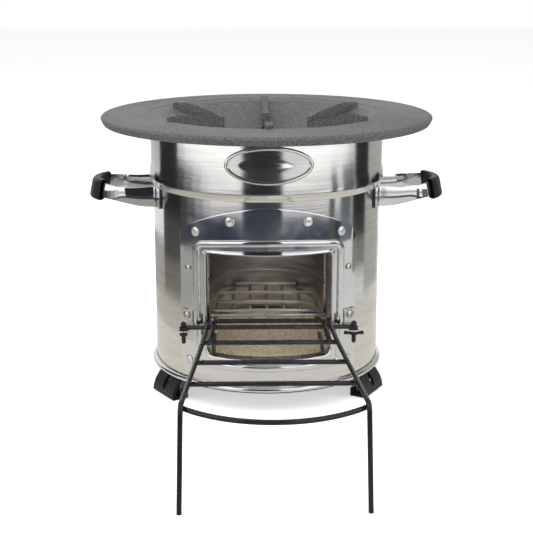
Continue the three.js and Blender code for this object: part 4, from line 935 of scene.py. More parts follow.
def clay_finish(colours):
    clay = Finish("Fired Clay", colours.clay, roughness=0.92, metallic=0.0)
    speckle = clay.group("Fine Speckle", Grain_Scale=480.0, Patch_Scale=55.0)
    flakes = clay.group("Fine Speckle", Grain_Scale=190.0, Patch_Scale=22.0)
    grains = clay.shade(speckle.outputs["Grain"], dark=0.5, light=1.45)
    pale = clay.spread(flakes.outputs["Grain"], low=0, high=0.8, start=0.62, end=0.9)
    clay.connect(clay.tint(pale, grains, PALE_CLAY), "Base Color")
    clay.bump(speckle.outputs["Grain"], distance=0.9 * MM, strength=0.8)
    clay.bump(flakes.outputs["Grain"], distance=1.2 * MM, strength=0.5)


def wool_finish(colours):
    wool = Finish("Mineral Wool", colours.wool, roughness=1.0, metallic=0.0)
    speckle = wool.group("Fine Speckle", Grain_Scale=700.0, Patch_Scale=90.0)
    wool.connect(wool.shade(speckle.outputs["Grain"], dark=0.7, light=1.2), "Base Color")
    wool.bump(speckle.outputs["Grain"], distance=0.8 * MM, strength=0.8)


class COOKSTOVE_OT_finishes(bpy.types.Operator):
    """Makes the finishes that the pieces wear"""

    bl_idname = "cookstove.finishes"
    bl_label = "Finishes"

    def execute(self, context):
        colours = context.scene.cookstove_colours
        build_speckle_group()
        build_brush_group()
        build_smudge_group()
        cast_iron_finish(colours)
        brushed_finish("Brushed Stainless", colours.stainless, roughness=0.12)
        polished_finish(colours)
        brushed_finish("Chamber Steel", colours.chamber, roughness=0.34, along=30.0, dark=0.7, light=1.2)
        plated_finish("Zinc Plate", colours.zinc, roughness=0.3)
        plated_finish("Rivet Aluminium", colours.aluminium, roughness=0.3)
        enamel_finish(colours)
        plastic_finish(colours)
        clay_finish(colours)
        wool_finish(colours)
        return {"FINISHED"}


# Cast-iron top

def rib_outline(size):
    """A rib's side view in radius and height: saw-toothed crest, bevel, nose and sunk foot."""
    top = size.top_height
    throat_top = top - THROAT_DEPTH

    def rise(radius):
        for (near, low), (far, high) in zip(RIB_TOP_LINE, RIB_TOP_LINE[1:]):
            if radius <= far:
                return low + (high - low) * (radius - near) / (far - near)
        return RIB_END_RISE

    pitch = (TOOTHED_TO - TOOTHED_FROM) / size.tooth_count
    outline = [(RIB_OUTER_RADIUS, top - RIB_SINK), (RIB_OUTER_RADIUS, top + RIB_END_RISE - RIB_END_CORNER),
               (RIB_OUTER_RADIUS - RIB_END_CORNER, top + RIB_END_RISE)]
    for i in range(size.tooth_count):
        radius = TOOTHED_TO - pitch * i
        foot = radius - pitch
        outline.append((radius, top + rise(radius)))
        outline.append((foot, top + rise(foot) - size.tooth_depth))
    crest_end, crest_low = RIB_TOP_LINE[0]
    outline += [(crest_end, top + crest_low - size.tooth_depth), (RIB_NOSE_RADIUS, top - RIB_NOSE_DROP),
                (RIB_NOSE_RADIUS, top - RIB_NOSE_DEPTH), (THROAT_RADIUS + THROAT_WALL / 2, throat_top - GAP),
                (DISH_RADIUS - RIB_SINK, top - RIB_SINK)]
    return outline


class COOKSTOVE_OT_iron_top(bpy.types.Operator):
    """Builds the cast-iron top with its rim, sunk dish, throat and saw-toothed pan ribs"""

    bl_idname = "cookstove.iron_top"
    bl_label = "Cast-Iron Top"

    def execute(self, context):
        size = sized(context)
        top = size.top_height
        underside = top - TOP_PLATE
        rim_outer = size.top_radius - TOP_RIM_DRAFT
        rim_inner = rim_outer - TOP_RIM_LAND
        throat_top = top - THROAT_DEPTH
        skirt = THROAT_RADIUS + THROAT_WALL
        edge = arc((size.top_radius - TOP_EDGE_WIDTH, top - TOP_EDGE_DROP),
                   (TOP_EDGE_WIDTH, TOP_EDGE_DROP), 0, 90, 8)
        profile = [(THROAT_RADIUS, throat_top - THROAT_SKIRT), (skirt, throat_top - THROAT_SKIRT),
                   (skirt, throat_top - CONE_WALL_DROP), (CONE_OUTER, underside),
                   (rim_inner - TOP_RIM_SLOPE, underside), (rim_inner, top - TOP_RIM_DEPTH),
                   (rim_outer, top - TOP_RIM_DEPTH), *edge,
                   (RING_STEP_RADIUS + RING_STEP_WIDTH, top), (RING_STEP_RADIUS, top - RING_STEP_DROP),
                   (DISH_RADIUS, top - RING_STEP_DROP), (THROAT_RADIUS, throat_top)]
        bm = bmesh.new()
        turn_profile(bm, soft_corners(profile, FOLD_CORNER, is_closed=True), size.ring_steps, True)
        outline = rib_outline(size)
        for i in range(RIB_COUNT):
            part = bmesh.new()
            half = size.rib_thickness / 2
            slab(part, [(-half, -r, z) for r, z in outline], Vector((size.rib_thickness, 0, 0)))
            soften(part, list(part.edges), RIB_BEVEL)
            turn_round(part, 360 * i / RIB_COUNT)
            merge_into(bm, part)
        add_piece("iron_top", bm, "Cast Iron", ("cooktop",))
        for i in (1, 2, 3):
            dress_node(f"cooktop_bolt_{i}", "Zinc Plate")
        return {"FINISHED"}


# Sheet-steel drum

class COOKSTOVE_OT_collar(bpy.types.Operator):
    """Builds the band under the top, with its raised line and its bare oval plate"""

    bl_idname = "cookstove.collar"
    bl_label = "Collar"

    def execute(self, context):
        size = sized(context)
        radius = size.collar_radius
        outside = [(radius, COLLAR_TOP)] + [(radius + reach, height) for height, reach in COLLAR_BEAD]
        inside = [(r - SHEET, z) for r, z in reversed(outside[1:])]
        flange = [(radius - SHEET, COLLAR_TOP - SHEET), (radius - SHEET - COLLAR_FLANGE, COLLAR_TOP - SHEET),
                  (radius - SHEET - COLLAR_FLANGE, COLLAR_TOP)]
        profile = outside + inside + flange
        bm = bmesh.new()
        turn_profile(bm, soft_corners(profile, FOLD_CORNER, is_closed=True), size.ring_steps, True)
        add_piece("collar_band", bm, "Brushed Stainless", ("collar",))
        self.add_oval(size)
        return {"FINISHED"}

    def add_oval(self, size):
        """The oval has a rolled rim round a flat, bare plate."""
        ridge = arc((0, 0), (BADGE_RIM_HALF, BADGE_RIM_RISE), 0, 180, 10)
        flat = [(-reach, BADGE_PLATE_RISE) for reach in BADGE_FLAT]
        section = [(BADGE_RIM_HALF, -BADGE_SINK)] + ridge + flat
        loops = []
        for offset, lift in section:
            radii = (BADGE_HALF_WIDTH + offset, BADGE_HALF_HEIGHT + offset)
            oval = arc((0, BADGE_HEIGHT), radii, 0, 360, BADGE_POINTS)
            loops.append([on_drum(x, z, size.collar_radius, lift) for x, z in oval[:-1]])
        bm = bmesh.new()
        inner = skin_loops(bm, loops, has_ends=False)
        bmesh.ops.contextual_create(bm, geom=inner)
        add_piece("oval_plate", bm, "Brushed Stainless")


class COOKSTOVE_OT_body(bpy.types.Operator):
    """Builds the stainless drum with its fuel cut-out, and the base pan with its rolled bead"""

    bl_idname = "cookstove.body"
    bl_label = "Body and Base Pan"

    def execute(self, context):
        size = sized(context)
        margin = SHEET + 2 * GAP
        heights = [BODY_FOOT, OPENING_BOTTOM - margin, OPENING_TOP + margin, BODY_TOP]
        bm = bmesh.new()
        turn_profile(bm, [(size.body_radius - SHEET, z) for z in heights], size.ring_steps)
        half = size.opening_half_width + margin
        middles = {face: face.calc_center_median() for face in bm.faces}
        cut = [face for face, middle in middles.items() if middle.y < 0 and abs(middle.x) < half
               and heights[1] < middle.z < heights[2]]
        bmesh.ops.delete(bm, geom=cut, context="FACES")
        bmesh.ops.recalc_face_normals(bm, faces=bm.faces)
        bmesh.ops.solidify(bm, geom=bm.faces, thickness=-SHEET)
        bmesh.ops.recalc_face_normals(bm, faces=bm.faces)
        add_piece("body_drum", bm, "Brushed Stainless", ("body_shell",))
        lip = size.body_radius + GAP
        bead = arc((lip + PAN_BEAD_OFFSET, PAN_HEIGHT + PAN_BEAD_RADIUS), (PAN_BEAD_RADIUS,) * 2, -90, 80, 10)
        profile = [(0, PAN_HEIGHT), *bead, (lip + PAN_LIP_WALL, PAN_HEIGHT + PAN_LIP_HEIGHT),
                   (lip, PAN_HEIGHT + PAN_LIP_HEIGHT), (lip, PAN_HEIGHT + PAN_SHEET),
                   (0, PAN_HEIGHT + PAN_SHEET)]
        bm = bmesh.new()
        turn_profile(bm, soft_corners(profile, SMALL_CORNER), size.ring_steps)
        add_piece("base_dish", bm, "Brushed Stainless", ("base_pan",))
        return {"FINISHED"}


# Door frame and what is fixed to it

class COOKSTOVE_OT_door_frame(bpy.types.Operator):
    """Builds the polished door frame with its arched edge, raised bead, lip and throat"""

    bl_idname = "cookstove.door_frame"
    bl_label = "Door Frame"

    def execute(self, context):
        size = sized(context)
        outer = size.body_radius + GAP + SHEET

        def edge_line(inset):
            return evenly(arched_outline(FRAME_HALF_WIDTH - inset, FRAME_BOTTOM + inset, FRAME_TOP - inset,
                                         FRAME_ARCH - inset, FRAME_TOP_CORNER - inset,
                                         FRAME_BOTTOM_CORNER - inset), OUTLINE_POINTS)

        def bead_line(offset):
            return evenly(arched_outline(BEAD_HALF_WIDTH + offset, BEAD_BOTTOM - offset, BEAD_TOP + offset,
                                         BEAD_ARCH + offset, BEAD_CORNER + offset, BEAD_CORNER + offset),
                          OUTLINE_POINTS)

        def lip_line(offset):
            return evenly(window_outline(size.opening_half_width + offset, OPENING_BOTTOM - offset,
                                         OPENING_TOP + offset, OPENING_TOP_CORNER + offset,
                                         OPENING_BOTTOM_CORNER + offset), OUTLINE_POINTS)

        def between(near, far, share):
            return [tuple(Vector(a).lerp(Vector(b), share)) for a, b in zip(near, far)]

        flat_edge = edge_line(FRAME_EDGE_INSET)
        foot = bead_line(BEAD_HALF)
        rows = [(edge_line(0), -FRAME_SHEET), (edge_line(0), -FRAME_EDGE_INSET), (flat_edge, 0)]
        rows += [(between(flat_edge, foot, share), 0) for share in FLAT_SHARES]
        crown = BEAD_HALF - BEAD_SHOULDER
        for middle, start in ((crown, 0), (-crown, 90)):
            ridge = arc((middle, 0), (BEAD_SHOULDER, size.bead_proud), start, start + 90, 6)
            rows += [(bead_line(offset), lift) for offset, lift in ridge]
        inner_foot = bead_line(-BEAD_HALF)
        lip_start = lip_line(LIP_RADIUS)
        rows += [(between(inner_foot, lip_start, share), 0) for share in LIP_SHARES]
        for turn in LIP_TURNS:
            angle = math.radians(turn)
            rows.append((lip_line(LIP_RADIUS * (1 - math.sin(angle))),
                         LIP_RISE - LIP_RADIUS * (1 - math.cos(angle))))
        bm = bmesh.new()
        loops = [[on_drum(x, z, outer, lift) for x, z in line] for line, lift in rows]
        mouth = lip_line(0)
        lip_depth = outer - LIP_RADIUS
        for share in (0.0, 0.5, 1.0):
            radius = lip_depth + (THROAT_BACK_RADIUS - lip_depth) * share
            loops.append([Vector((x, -math.sqrt(radius ** 2 - x ** 2), z)) for x, z in mouth])
        skin_loops(bm, loops, has_ends=False)
        piece = add_piece("door_surround", bm, "Polished Steel", ("door_frame",),
                          smooth=BENT_SMOOTH)
        give_wall(piece, FRAME_SHEET, -1)
        return {"FINISHED"}


def rivet(seat):
    """A pop rivet about Z with a hollow middle, its head's underside at the seat."""
    dome = arc((0, seat), (RIVET_HEAD, RIVET_RISE), 0, RIVET_DOME, 7)
    hollow = [(RIVET_HEAD * across, seat + RIVET_RISE * up) for across, up in RIVET_HOLLOW]
    profile = [(0, SHANK_BACK), (SHANK, SHANK_BACK), (SHANK, seat), (RIVET_HEAD, seat), *dome, *hollow,
               (0, hollow[-1][1])]
    bm = bmesh.new()
    turn_profile(bm, profile, FASTENER_STEPS)
    return bm


def cross_reach(angle, head):
    """How far a crossed recess reaches from its middle in one direction."""
    along = abs(math.cos(angle)) + 1e-9
    across = abs(math.sin(angle)) + 1e-9
    half = head * CROSS_WIDTH_SHARE
    reach = head * CROSS_REACH_SHARE
    return max(min(reach / along, half / across), min(half / along, reach / across))


def screw(head, seat):
    """A pan-head screw about Z with a crossed recess, its head's underside at the seat."""
    turns = [FULL_TURN * i / CROSS_POINTS for i in range(CROSS_POINTS)]

    def circle(radius, height):
        return [Vector((radius * math.cos(a), radius * math.sin(a), height)) for a in turns]

    def cross(share, height):
        return [Vector((cross_reach(a, head) * share * math.cos(a),
                        cross_reach(a, head) * share * math.sin(a), height)) for a in turns]

    dome = arc((0, seat + SCREW_LAND), (head, SCREW_RISE - SCREW_LAND), 0, SCREW_DOME, 6)
    loops = [circle(SHANK, SHANK_BACK), circle(SHANK, seat), circle(head, seat)]
    loops += [circle(radius, height) for radius, height in dome]
    top = seat + SCREW_RISE
    loops += [cross(share, top - depth) for share, depth in CROSS_ROWS]
    bm = bmesh.new()
    skin_loops(bm, loops)
    return bm


def front_angle(offset, radius):
    return math.degrees(math.asin(offset / radius))


class COOKSTOVE_OT_fasteners(bpy.types.Operator):
    """Builds the frame's rivets and screws"""

    bl_idname = "cookstove.fasteners"
    bl_label = "Rivets and Screws"

    def execute(self, context):
        size = sized(context)
        outer = size.body_radius + GAP + SHEET
        for side, word in SIDES:
            for i, (offset, height) in enumerate(RIVETS):
                self.fix(f"rivet_head_{word}_{i + 1}", rivet(outer + GAP), front_angle(side * offset, outer),
                         height, "Rivet Aluminium", "rivet_aluminium", f"frame_rivet_{word}_{i + 1}")
            self.fix(f"side_screw_{word}", screw(SIDE_SCREW_HEAD, outer + GAP),
                     front_angle(side * FRAME_SCREW[0], outer), FRAME_SCREW[1], "Zinc Plate", "zinc_steel",
                     f"frame_screw_{word}")
            self.fix(f"clip_screw_{word}", screw(CLIP_SCREW_HEAD, outer + 2 * GAP + BRACKET_SHEET),
                     side * BRACKET_ANGLE, BRACKET_SCREW_HEIGHT, "Zinc Plate", "zinc_steel",
                     f"bracket_screw_{word}")
        return {"FINISHED"}

    def fix(self, name, bm, angle, height, finish, slot, node):
        face_front(bm, height)
        turn_round(bm, angle)
        add_piece(name, bm, finish, (node,), smooth=FASTENER_SMOOTH)


class COOKSTOVE_OT_clips(bpy.types.Operator):
    """Builds the two zinc clips that carry the fuel stand"""

    bl_idname = "cookstove.clips"
    bl_label = "Stand Clips"

    def execute(self, context):
        inner = sized(context).body_radius + 2 * GAP + SHEET
        outer = inner + BRACKET_SHEET
        for side, word in SIDES:
            bm = bmesh.new()
            leg = soft_corners([(-BRACKET_HALF, BRACKET_BOTTOM), (BRACKET_HALF, BRACKET_BOTTOM),
                                (BRACKET_HALF, BRACKET_TOP), (-BRACKET_HALF, BRACKET_TOP)],
                               BRACKET_CORNER, 4, True)
            slab(bm, [(x, -inner, z) for x, z in leg], Vector((0, inner - outer, 0)))
            turn_round(bm, BRACKET_ANGLE)
            turn = Matrix.Rotation(math.radians(BRACKET_ANGLE), 3, "Z")
            root = [turn @ Vector((x, -(inner + outer) / 2, 0)) for x in (-BRACKET_HALF, BRACKET_HALF)]
            tip = arc((BOLT_OFFSET, -BOLT_REACH), (SHELF_TIP,) * 2, -180, 0, 16)
            shelf = [(root[0].x, root[0].y)] + tip + [(root[1].x, root[1].y)]
            slab(bm, [(x, y, BRACKET_BOTTOM) for x, y in shelf], Vector((0, 0, BRACKET_SHEET)))
            if side < 0:
                mirror_across(bm)
            piece = add_piece(f"zinc_clip_{word}", bm, "Zinc Plate", (f"stand_bracket_{word}",))
            edge = piece.modifiers.new("Rounded Edges", "BEVEL")
            edge.width = BRACKET_BEVEL
            edge.segments = 2
        return {"FINISHED"}


class COOKSTOVE_OT_bolts(bpy.types.Operator):
    """Builds the stand's bolts and wing nuts"""

    bl_idname = "cookstove.bolts"
    bl_label = "Bolts and Wing Nuts"

    def execute(self, context):
        eye_top = CROSS_HEIGHT - sized(context).wire_radius + EYE_THICKNESS
        seat = eye_top + GAP
        top = BRACKET_BOTTOM - GAP
        bottom = top - NUT_HEIGHT
        for side, word in SIDES:
            place = AXIS + Vector((side * BOLT_OFFSET, -BOLT_REACH, 0))
            bm = bmesh.new()
            threads = []
            height = BOLT_TIP + BOLT_POINT
            while height < BRACKET_BOTTOM - THREAD_PITCH / 2:
                threads += [(BOLT_RADIUS, height), (BOLT_RADIUS - THREAD_DEPTH, height + THREAD_PITCH / 2)]
                height += THREAD_PITCH
            tip = arc((0, BOLT_TIP + BOLT_POINT), (BOLT_RADIUS - THREAD_DEPTH, BOLT_POINT), -90, -10, 5)
            dome = arc((0, seat + BOLT_HEAD_HEIGHT / 2), (BOLT_HEAD, BOLT_HEAD_HEIGHT / 2), 0, 90, 8)
            profile = tip + threads + [(BOLT_RADIUS, BRACKET_BOTTOM), (BOLT_RADIUS, seat),
                                       (BOLT_HEAD, seat), *dome]
            turn_profile(bm, profile, FASTENER_STEPS)
            add_piece(f"stand_bolt_{word}", bm, "Black Enamel", (f"bracket_bolt_{word}",),
                      place=place)
            self.add_nut(word, place, bottom, top)
        return {"FINISHED"}

    def add_nut(self, word, place, bottom, top):
        bore = BOLT_RADIUS + GAP
        boss = [(bore, bottom), (NUT_RADIUS, bottom), (NUT_RADIUS - NUT_TAPER, top), (bore, top)]
        bm = bmesh.new()
        turn_profile(bm, soft_corners(boss, SMALL_CORNER, is_closed=True), FASTENER_STEPS, True)
        tip = WING_REACH - NUT_HEIGHT / 2
        lobe = [(bore + WING_ROOT, bottom + WING_LIFT), (tip, bottom)]
        lobe += arc((tip, bottom + NUT_HEIGHT / 2), (NUT_HEIGHT / 2,) * 2, -80, 90, 10)
        lobe += [(NUT_RADIUS, top - WING_DROP), (bore + WING_ROOT, top - WING_DROP)]
        for sign in (-1, 1):
            part = slab(bm, [(sign * x, -WING_THICKNESS / 2, z) for x, z in lobe],
                        Vector((0, WING_THICKNESS, 0)))
            soften(bm, edges_at(part), WING_BEVEL)
        if word == "left":
            turn_round(bm, 90)
        add_piece(f"nut_{word}", bm, "Black Enamel", (f"wing_nut_{word}",),
                  f"{word}_nut", place=place)


# Wire fuel stand

def leg_offset(reach):
    """How far a leg runs from the stand's middle line at a reach from the stove's axis."""
    (near_x, near_y), (mid_x, mid_y), (far_x, far_y) = LEG_LINE
    if reach < mid_y:
        return near_x + (mid_x - near_x) * (reach - near_y) / (mid_y - near_y)
    return mid_x + (far_x - mid_x) * (reach - mid_y) / (far_y - mid_y)


class COOKSTOVE_OT_stand(bpy.types.Operator):
    """Builds the black wire stand in front of the door"""

    bl_idname = "cookstove.stand"
    bl_label = "Fuel Stand"

    def execute(self, context):
        radius = sized(context).wire_radius
        (tip_x, tip_y), (back_x, back_y) = LOOP_LINE
        loop = [(-tip_x, -tip_y, LONG_HEIGHT), (-back_x, -back_y, LONG_HEIGHT),
                (back_x, -back_y, LONG_HEIGHT), (tip_x, -tip_y, LONG_HEIGHT)]
        self.add_wire("inner_loop", bent_line(loop, [LOOP_BEND] * 2, 6), radius, "stand_loop")
        self.add_bolted_bar(radius)
        for i, reach in enumerate(CROSS_REACHES):
            end = leg_offset(reach) + CROSS_OVERHANG
            line = straight((-end, -reach, CROSS_HEIGHT), (end, -reach, CROSS_HEIGHT))
            self.add_wire(f"cross_wire_{i + 1}", line, radius, f"stand_cross_bar_{i + 1}")
        self.add_legs(radius)
        chord = leg_offset(ARC_END_REACH)
        rise = ARC_TIP_REACH - ARC_END_REACH
        bow = (chord ** 2 + rise ** 2) / (2 * rise)
        half = math.degrees(math.asin(chord / bow))
        line = [Vector((x, y, CROSS_HEIGHT)) for x, y in
                arc((0, bow - ARC_TIP_REACH), (bow, bow), FRONT - half, FRONT + half, 60)]
        self.add_wire("front_bow", with_directions(line), radius, "stand_front_arc")
        return {"FINISHED"}

    def add_wire(self, name, stations, radius, node):
        bm = bmesh.new()
        sweep_wire(bm, stations, radius)
        add_piece(name, bm, "Black Enamel", (node,), smooth=WIRE_SMOOTH)

    def add_bolted_bar(self, radius):
        bm = bmesh.new()
        end = BOLT_OFFSET - (EYE_RADIUS + BOLT_RADIUS + GAP) / 2
        sweep_wire(bm, straight((-end, -BOLT_REACH, CROSS_HEIGHT), (end, -BOLT_REACH, CROSS_HEIGHT)), radius)
        low = CROSS_HEIGHT - radius
        high = low + EYE_THICKNESS
        bore = BOLT_RADIUS + GAP
        for side in (-1, 1):
            eye = bmesh.new()
            ring = [(bore, low), (EYE_RADIUS, low), (EYE_RADIUS, high), (bore, high)]
            turn_profile(eye, soft_corners(ring, EYE_CORNER, is_closed=True), EYE_STEPS, True)
            bmesh.ops.translate(eye, verts=eye.verts, vec=(side * BOLT_OFFSET, -BOLT_REACH, 0))
            merge_into(bm, eye)
        add_piece("eyed_bar", bm, "Black Enamel", ("stand_bolted_bar",), smooth=WIRE_SMOOTH)

    def add_legs(self, radius):
        knee_x, knee_y = LEG_LINE[-1]
        corners = [(x, -y, LONG_HEIGHT) for x, y in LEG_LINE] + [(LEG_FOOT[0], -LEG_FOOT[1], 0)]
        stations = bent_line(corners, [0, LEG_BEND], 5)
        for side, word in reversed(SIDES):
            bm = bmesh.new()
            sweep_wire(bm, stations, radius)
            cut = bmesh.ops.bisect_plane(bm, geom=bm.verts[:] + bm.edges[:] + bm.faces[:],
                                         plane_co=(0, 0, 0), plane_no=(0, 0, -1), clear_outer=True)
            rim = picked(cut["geom_cut"], bmesh.types.BMEdge)
            bmesh.ops.contextual_create(bm, geom=rim)
            bmesh.ops.recalc_face_normals(bm, faces=bm.faces)
            if side < 0:
                mirror_across(bm)
            add_piece(f"wire_leg_{word}", bm, "Black Enamel", (f"stand_leg_{word}",),
                      smooth=WIRE_SMOOTH)


# Inside of the stove

class COOKSTOVE_OT_inside(bpy.types.Operator):
    """Builds the chamber, the tunnel, the floor tile with its rails, and the packing"""

    bl_idname = "cookstove.inside"
    bl_label = "Chamber, Tunnel and Tile"

    def execute(self, context):
        line = [(CHAMBER_FOOT, 0), *CHAMBER_BEAD, (TUNNEL_TOP, 0), (CHAMBER_TOP, 0)]
        bm = bmesh.new()
        turn_profile(bm, [(CHAMBER_RADIUS + proud, z) for z, proud in line], CHAMBER_STEPS)
        gate = [f for f in bm.faces if f.calc_center_median().y < 0 and f.calc_center_median().z < TUNNEL_TOP]
        bmesh.ops.delete(bm, geom=gate, context="FACES")
        for face in bm.faces:
            middle = face.calc_center_median()
            if face.normal.dot(Vector((middle.x, middle.y, 0))) < 0:
                face.normal_flip()
        piece = add_piece("chamber_pot", bm, "Chamber Steel", ("combustion_chamber",))
        give_wall(piece, CHAMBER_SHEET, 1)
        finer_copy("tunnel_duct", "fuel_tunnel", "Chamber Steel")
        finer_copy("clay_tile", "floor_tile", "Fired Clay", TILE_BEVEL)
        for _, word in SIDES:
            finer_copy(f"sunk_rail_{word}", f"tile_rail_{word}", "Zinc Plate", RAIL_BEVEL)
        finer_copy("grate_stop", "grate_peg", "Zinc Plate", RAIL_BEVEL)
        dress_node("insulation", "Mineral Wool")
        return {"FINISHED"}


class COOKSTOVE_OT_grate(bpy.types.Operator):
    """Builds the lift-out wire grate"""

    bl_idname = "cookstove.grate"
    bl_label = "Grate"

    def execute(self, context):
        sides = [(half - GRATE_HOOP_INSET, -reach) for reach, half in reversed(GRATE_BARS)]
        sides[0] = GRATE_HOOP_FRONT
        right = [Vector((x * MM, y * MM, GRATE_RAIL_HEIGHT)) for x, y in sides]
        tip = Vector((0, GRATE_HOOP_BACK * MM, GRATE_RAIL_HEIGHT))
        left = [Vector((-p.x, p.y, p.z)) for p in reversed(right)]
        outline = smooth_line(right + [tip] + left, GRATE_HOOP_STEPS)
        bm = bmesh.new()
        sweep_wire(bm, with_directions(outline), GRATE_BAR_RADIUS, GRATE_BAR_SIDES)
        for rail in GRATE_RAILS:
            x = rail * MM
            back = min((p for p in outline if p.y > 0), key=lambda p: abs(p.x - x)).y
            line = straight((x, GRATE_RAIL_FRONT * MM, GRATE_RAIL_HEIGHT), (x, back, GRATE_RAIL_HEIGHT))
            sweep_wire(bm, line, GRATE_RAIL_RADIUS, GRATE_RAIL_SIDES)
        add_piece("grate_hoop", bm, "Chamber Steel", ("grate_frame",), "grate",
                  WIRE_SMOOTH)
        for i, (reach, half) in enumerate(GRATE_BARS):
            bm = bmesh.new()
            line = straight((-half * MM, -reach * MM, GRATE_HEIGHT), (half * MM, -reach * MM, GRATE_HEIGHT))
            sweep_wire(bm, line, GRATE_BAR_RADIUS, GRATE_BAR_SIDES)
            add_piece(f"cross_rod_{i + 1}", bm, "Chamber Steel", (f"grate_bar_{i + 1}",),
                      "grate", WIRE_SMOOTH)
        return {"FINISHED"}


# Feet

class COOKSTOVE_OT_feet(bpy.types.Operator):
    """Builds the moulded feet and their steel brackets"""

    bl_idname = "cookstove.feet"
    bl_label = "Feet"

    def execute(self, context):
        for i, (angle, turn) in enumerate(FEET, 1):
            finer_copy(f"moulded_foot_{i}", f"foot_{i}", "Black Plastic", FOOT_BEVEL,
                       reshape=self.shallower(angle, turn, BODY_TOP))
            finer_copy(f"foot_plate_{i}", f"foot_bracket_{i}", "Zinc Plate", FOOT_PLATE_BEVEL,
                       segments=2, reshape=self.shallower(angle, turn, FOOT_PLATE_ZONE))
        return {"FINISHED"}

    def shallower(self, angle, turn, below):
        """Draws a foot's inner wall outwards below a height, and turns the foot a little round the stove."""
        out = Vector((math.sin(math.radians(angle)), -math.cos(math.radians(angle)), 0))

        def reshape(bm):
            for vert in bm.verts:
                if (vert.co - AXIS).dot(out) < FOOT_INNER_ZONE and vert.co.z < below:
                    vert.co += out * FOOT_DRAW
            turn_round(bm, turn, AXIS)

        return reshape


# Handles

def share_between(value, start, end):
    """How far a value has come from a start to an end, from 0 to 1."""
    return min(max((value - start) / (end - start), 0), 1)


def smooth_share(value, start, end):
    """The same with a gentle start and a gentle end."""
    share = share_between(value, start, end)
    return share * share * (3 - 2 * share)


def strap_heights(x):
    """The strap's lower and upper edge and its lean at a distance from the stove's axis."""
    share = share_between(x, *STRAP_RAMP)
    eased = smooth_share(x, *STRAP_RAMP)
    low, high = [near + (far - near) * eased for near, far in zip(STRAP_AT_BODY, STRAP_AT_GRIP)]
    high -= STRAP_DIP * math.sin(math.pi * share)
    return low, high, math.tan(math.radians(GRIP_LEAN)) * smooth_share(share, 0.5, 1)


def handle_loop(place, heading, section):
    """A loop of places round the strap's middle line, leaning inwards near the grip."""
    out = Vector((heading.y, -heading.x, 0)).normalized()
    low, high, lean = strap_heights(place.x)
    middle = (low + high) / 2
    return [Vector((place.x, place.y, height)) + out * (side + lean * (height - middle))
            for side, height in section(low, high)]


def strap_section(low, high):
    half = STRAP_SHEET / 2
    return soft_corners([(-half, low), (half, low), (half, high), (-half, high)], STRAP_CORNER, 2, True)


def grip_section(low, high):
    middle = (low + high) / 2
    half_height = GRIP_HEIGHT / 2 - GRIP_CORNER
    half_width = GRIP_THICKNESS / 2 - GRIP_CORNER
    corners = [(half_width, half_height, 0), (-half_width, half_height, 90),
               (-half_width, -half_height, 180), (half_width, -half_height, 270)]
    return [p for x, z, start in corners
            for p in arc((x, middle + z), (GRIP_CORNER,) * 2, start, start + 90, 5)]


class COOKSTOVE_OT_handles(bpy.types.Operator):
    """Builds the two bent straps and their moulded grips"""

    bl_idname = "cookstove.handles"
    bl_label = "Handles"

    def execute(self, context):
        seat = sized(context).body_radius + GAP + STRAP_SHEET / 2
        root_angle = math.asin(ARM_OFFSET / seat)
        flange_turn = root_angle + STRAP_FLANGE / seat / 2
        along = Vector((-math.sin(flange_turn), math.cos(flange_turn), 0))
        touch = Vector((math.cos(flange_turn), math.sin(flange_turn), 0)) * seat
        half = [touch + along * STRAP_FLANGE / 2, touch + along * (ARM_OFFSET - touch.y) / along.y,
                Vector(((seat * math.cos(root_angle) + HANDLE_REACH - ARM_OFFSET) / 2, ARM_OFFSET, 0)),
                Vector((HANDLE_REACH, ARM_OFFSET, 0))]
        other = [Vector((p.x, -p.y, 0)) for p in reversed(half)]
        stations = bent_line(half + other, [STRAP_BEND, 0, ARM_OFFSET, ARM_OFFSET, 0, STRAP_BEND])
        stations = self.closer(stations, STRAP_STATION)
        for side, word in reversed(SIDES):
            bm = bmesh.new()
            skin_loops(bm, [handle_loop(p, d, strap_section) for p, d in stations])
            if side < 0:
                mirror_across(bm)
            add_piece(f"chrome_strap_{word}", bm, "Polished Steel",
                      (f"handle_strap_{word}",), smooth=BENT_SMOOTH)
            bm = self.grip_mesh()
            if side < 0:
                mirror_across(bm)
            add_piece(f"moulded_grip_{word}", bm, "Black Plastic",
                      (f"handle_grip_{word}",), smooth=BENT_SMOOTH)
        return {"FINISHED"}

    def closer(self, stations, longest):
        """Adds stations on the straight runs, so that the strap can widen and lean along them."""
        full = []
        for (a, da), (b, db) in zip(stations, stations[1:]):
            steps = max(1, math.ceil((b - a).length / longest))
            full += [(a.lerp(b, k / steps), da.lerp(db, k / steps).normalized()) for k in range(steps)]
        return full + [stations[-1]]

    def grip_mesh(self):
        """A hollow-ended moulding bent round the strap."""
        bm = bmesh.new()
        loops = []
        for i in range(GRIP_STEPS + 1):
            angle = math.radians(GRIP_HALF_ANGLE * (1 - 2 * i / GRIP_STEPS))
            place = Vector((HANDLE_REACH - ARM_OFFSET + ARM_OFFSET * math.cos(angle),
                            ARM_OFFSET * math.sin(angle), 0))
            loops.append(handle_loop(place, Vector((math.sin(angle), -math.cos(angle), 0)), grip_section))
        skin_loops(bm, loops)
        ends = [f for f in bm.faces if len(f.verts) > 8]
        bmesh.ops.inset_region(bm, faces=ends, thickness=GRIP_WALL, use_even_offset=True)
        for end in ends:
            push = -end.normal * GRIP_POCKET
            deep = bmesh.ops.extrude_discrete_faces(bm, faces=[end])["faces"]
            bmesh.ops.translate(bm, verts=list(deep[0].verts), vec=push)
        bmesh.ops.recalc_face_normals(bm, faces=bm.faces)
        return bm


# Stage

